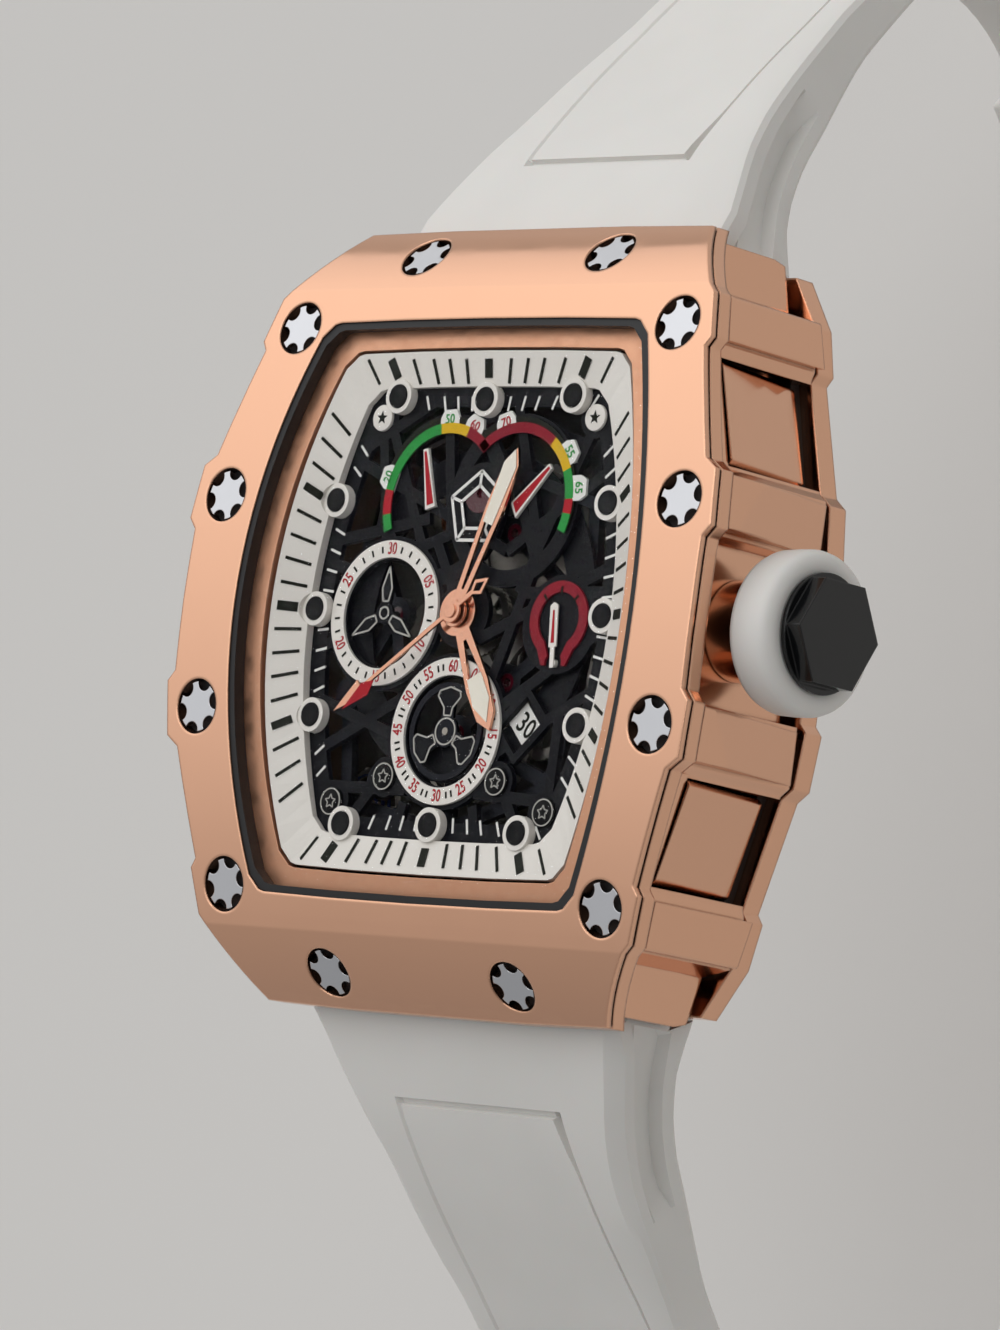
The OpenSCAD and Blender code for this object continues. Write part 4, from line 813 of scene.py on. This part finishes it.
whiteHeads, starPrint, blackHeads, starLines = (bmesh.new() for _ in range(4))
printHigh = fittings["printHigh"]
headTop = dialTop + fittings["whiteHigh"]
for x, y in fittings["whiteStars"]:
    addDisc(whiteHeads, x, y, fittings["whiteRadius"], dialTop - sunk, headTop)
    addPlate(starPrint, turnedBy(starOutline(*fittings["whiteStar"]), 0, (x, y)),
             headTop + ink - printHigh, headTop + ink)
headTop = dialTop + fittings["blackHigh"]
for x, y in fittings["blackStars"]:
    addDisc(blackHeads, x, y, fittings["blackRadius"], dialTop - sunk, headTop)
    addArc(starLines, (x, y), fittings["ringFrom"], fittings["ringTo"], 0, 360,
           headTop + ink - printHigh, headTop + ink)
    star = turnedBy(starOutline(*fittings["blackStar"]), 0, (x, y))
    lineZ = headTop + ink - printHigh / 2
    for a, b in zip(star, star[1:] + star[:1]):
        addBar(starLines, (*a, lineZ), (*b, lineZ), fittings["starLine"], printHigh)
for bm in (whiteHeads, blackHeads):
    rims = [e for e in bm.edges if abs(e.verts[0].co.z - e.verts[1].co.z) < 1e-7
            and e.verts[0].co.z > dialTop * mm]
    bmesh.ops.bevel(bm, geom=rims, offset=fittings["headEdge"] * mm, segments=2, profile=0.5,
                    affect="EDGES", material=-1)
finishPiece(whiteHeads, "starHeads.white", whiteLacquer, "case",
            fittings["crisp"])
finishPiece(starPrint, "starPrint", inks["black"], "case")
finishPiece(blackHeads, "starHeads.black", blackPod, "case",
            fittings["crisp"])
finishPiece(starLines, "starLines", inks["grey"], "case")

fiveSided = {"centre": (0.15, 6.6), "outer": 2.5, "inner": 1.45, "rimShare": 0.8,
             "high": 0.12, "line": 0.2, "lineIn": 0.06, "lineLift": 0.01}
frameLines, framePlate = bmesh.new(), bmesh.new()
bmesh.ops.create_circle(framePlate, cap_ends=True, segments=5, radius=fiveSided["outer"] * mm)
bmesh.ops.inset_individual(framePlate, faces=framePlate.faces[:], use_even_offset=True,
                           thickness=(fiveSided["outer"] - fiveSided["inner"])
                           * fiveSided["rimShare"] * mm)
middle = min(framePlate.faces, key=lambda f: f.calc_center_median().length)
bmesh.ops.delete(framePlate, geom=[middle], context="FACES_ONLY")
bmesh.ops.solidify(framePlate, geom=framePlate.faces[:], thickness=-fiveSided["high"] * mm)
bmesh.ops.translate(framePlate, verts=framePlate.verts[:], vec=(
    fiveSided["centre"][0] * mm, fiveSided["centre"][1] * mm, dialTop * mm))
lineZ = dialTop + fiveSided["high"] + fiveSided["lineLift"]
rings = [[clockPoint(72 * i, r, fiveSided["centre"]) for i in range(5)]
         for r in (fiveSided["outer"] - fiveSided["lineIn"],
                   fiveSided["inner"] + fiveSided["lineIn"])]
for i in range(5):
    for a, b in ((rings[0][i], rings[0][i - 1]), (rings[1][i], rings[1][i - 1]),
                 (rings[0][i], rings[1][i])):
        addBar(frameLines, (*a, lineZ), (*b, lineZ), fiveSided["line"], ink)
finishPiece(framePlate, "fiveSidedFrame", blackDial, "case")
finishPiece(frameLines, "fiveSidedLines", inks["white"], "case")

selector = {
    "scaleAt": (8.35, -0.3), "angles": (-42, 0, 42), "tickFrom": 1.68, "tickTo": 2.15,
    "tickWide": 0.16, "handAt": (8.35, -2.95), "handTurn": 6,
    "stripe": ((-0.13, 1.25), (0.13, 1.25), (0.06, 3.3), (-0.06, 3.3)),
}
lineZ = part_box("function_scale")[1][2] / mm + ink / 2
selectorTicks = bmesh.new()
for angle in selector["angles"]:
    a, b = (clockPoint(angle, selector[end], selector["scaleAt"]) for end in ("tickFrom", "tickTo"))
    addBar(selectorTicks, (*a, lineZ), (*b, lineZ), selector["tickWide"], ink)
finishPiece(selectorTicks, "selectorTicks", inks["black"], "case")
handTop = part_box("function_hand")[1][2] / mm
stripe = bmesh.new()
addPlate(stripe, turnedBy(selector["stripe"], selector["handTurn"], selector["handAt"]),
         handTop, handTop + ink)
finishPiece(stripe, "selectorStripe", inks["red"], "function")

# The two small hands: broader dark arms, with thin light outlines drawn on them.
outlined = {
    "small_seconds": {"at": (0, -7.45), "body": "fourth", "hub": 0.78, "wide": 0.1, "arm": (
        (-0.3, 1.0), (-0.36, 1.5), (-0.98, 2.2), (-0.86, 2.55), (0, 2.8), (0.86, 2.55),
        (0.98, 2.2), (0.36, 1.5), (0.3, 1.0))},
    "counter_hand": {"at": (-6.7, -0.1), "body": "counter", "hub": 0.32, "wide": 0.11, "arm": (
        (-0.24, 0.75), (-0.42, 1.58), (0, 2.95), (0.42, 1.58), (0.24, 0.75))},
}
# how the arms are grown across and along, and heights from the hand's top
armLook = {"across": 1.08, "along": 1.02, "armLow": -0.06, "armHigh": 0.005,
           "lineLow": -0.01, "lineHigh": 0.03}
for node, spec in outlined.items():
    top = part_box(node)[1][2] / mm
    lineLow, lineHigh = top + armLook["lineLow"], top + armLook["lineHigh"]
    lineZ = (lineLow + lineHigh) / 2
    bm, arms = bmesh.new(), bmesh.new()
    addArc(bm, spec["at"], spec["hub"], spec["hub"] + spec["wide"], 0, 360, lineLow, lineHigh)
    for turn in (0, 120, 240):
        arm = turnedBy(spec["arm"], turn, spec["at"])
        grown = turnedBy([(x * armLook["across"], y * armLook["along"]) for x, y in spec["arm"]],
                         turn, spec["at"])
        addPlate(arms, grown, top + armLook["armLow"], top + armLook["armHigh"])
        for a, b in zip(arm, arm[1:] + arm[:1]):
            addBar(bm, (*a, lineZ), (*b, lineZ), spec["wide"], lineHigh - lineLow)
    finishPiece(bm, node + ".outline", inks["grey"], spec["body"])
    finishPiece(arms, node + ".arms", blackDial, spec["body"])

# The pushers' edges are cut at a slant.
pushers = {"nodes": ("pusher_two", "pusher_four"), "slant": 0.28, "from": 40}
for node in pushers["nodes"]:
    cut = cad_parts[node].modifiers.new("slantedEdges", "BEVEL")
    cut.width = pushers["slant"] * mm
    cut.segments = 1
    cut.limit_method = "ANGLE"
    cut.angle_limit = math.radians(pushers["from"])
print("hands and fittings ready")


# A black ring under each bezel screw, seen in the notches of its head: painted shade, a dark piece
# put where the recess is only in shade.

shadeRings = {
    # x, y, height and tilt of one screw of each four; the rest mirror it
    "spots": ((16.3, 18, 12.98, 10.2), (19.6, 6.87, 14.35, 3.9), (7.95, 23, 10.91, 38)),
    "inner": 0.95, "outer": 1.76, "low": -0.99, "high": -0.87, "crisp": 40,
}
bm = bmesh.new()
for x, y, z, tilt in shadeRings["spots"]:
    for sx, sy in ((-1, -1), (-1, 1), (1, -1), (1, 1)):
        old = set(bm.verts)
        addArc(bm, (0, 0), shadeRings["inner"], shadeRings["outer"], 0, 360, shadeRings["low"], shadeRings["high"])
        place = Matrix.Translation((sx * x * mm, sy * y * mm, z * mm)) @ Matrix.Rotation(
            math.radians(-sy * tilt), 4, "X")
        bmesh.ops.transform(bm, matrix=place, verts=[v for v in bm.verts if v not in old])
finishPiece(bm, "paintedShadeRings", blackRubber, "case", shadeRings["crisp"])
print("screw seals ready")


# Floor, lamp and world.

studio = {
    "floor": "#D6D4D1", "floorShade": "#DEDCD9", "floorSize": 6.0, "floorGap": 0.0002,
    "worldToward": (-0.55, 0.62, 0.56), "worldBehind": 0.18, "worldAhead": 0.56,
    "panelFrom": 0.62, "panelGlow": 0.76,
    "key": {"place": (0.12, 0.3, 0.88), "size": 0.85, "radiance": 1.05},
}
bm = bmesh.new()
bmesh.ops.create_grid(bm, x_segments=1, y_segments=1, size=studio["floorSize"] / 2,
                      matrix=Matrix.Translation((0, 0, cadBox[0][2] - studio["floorGap"])))
floorMesh = bpy.data.meshes.new("studioFloor")
bm.to_mesh(floorMesh)
bm.free()
floor = bpy.data.objects.new("studioFloor", floorMesh)
bpy.context.scene.collection.objects.link(floor)
floorMesh.materials.append(mouldedSurface("studioPaper", studio["floor"], {
    "roughness": 0.8, "grain": 2, "drift": 300, "shade": studio["floorShade"], "relief": 0.02}))

lamp = studio["key"]
data = bpy.data.lights.new("key", "AREA")
data.shape = "SQUARE"
data.size = lamp["size"]
data.energy = lamp["radiance"] * math.pi * lamp["size"] ** 2
light = bpy.data.objects.new("key", data)
light.location = lamp["place"]
light.rotation_euler = (-Vector(lamp["place"])).to_track_quat("-Z", "Y").to_euler()
bpy.context.scene.collection.objects.link(light)

world = bpy.data.worlds.new("studio")
world.use_nodes = True
tree = world.node_tree
tree.nodes.clear()
way = addNode(tree, "ShaderNodeTexCoord")
toward = addNode(tree, "ShaderNodeVectorMath", {
    0: way.outputs["Generated"], 1: studio["worldToward"]}, operation="DOT_PRODUCT")
room = addNode(tree, "ShaderNodeMapRange", {
    "Value": toward.outputs["Value"], "From Min": -1.0, "From Max": 1.0,
    "To Min": studio["worldBehind"], "To Max": studio["worldAhead"]})
panel = addNode(tree, "ShaderNodeMapRange", {
    "Value": toward.outputs["Value"], "From Min": studio["panelFrom"], "From Max": 1.0,
    "To Min": 0.0, "To Max": studio["panelGlow"]})
level = addNode(tree, "ShaderNodeMath", {
    0: room.outputs["Result"], 1: panel.outputs["Result"]}, operation="ADD")
glow = addNode(tree, "ShaderNodeBackground", {
    "Color": hexColor("#FFFFFF"), "Strength": level.outputs[0]})
addNode(tree, "ShaderNodeOutputWorld", {"Surface": glow.outputs[0]})
bpy.context.scene.world = world
bpy.context.scene.view_settings.view_transform = "Standard"
print("studio ready")
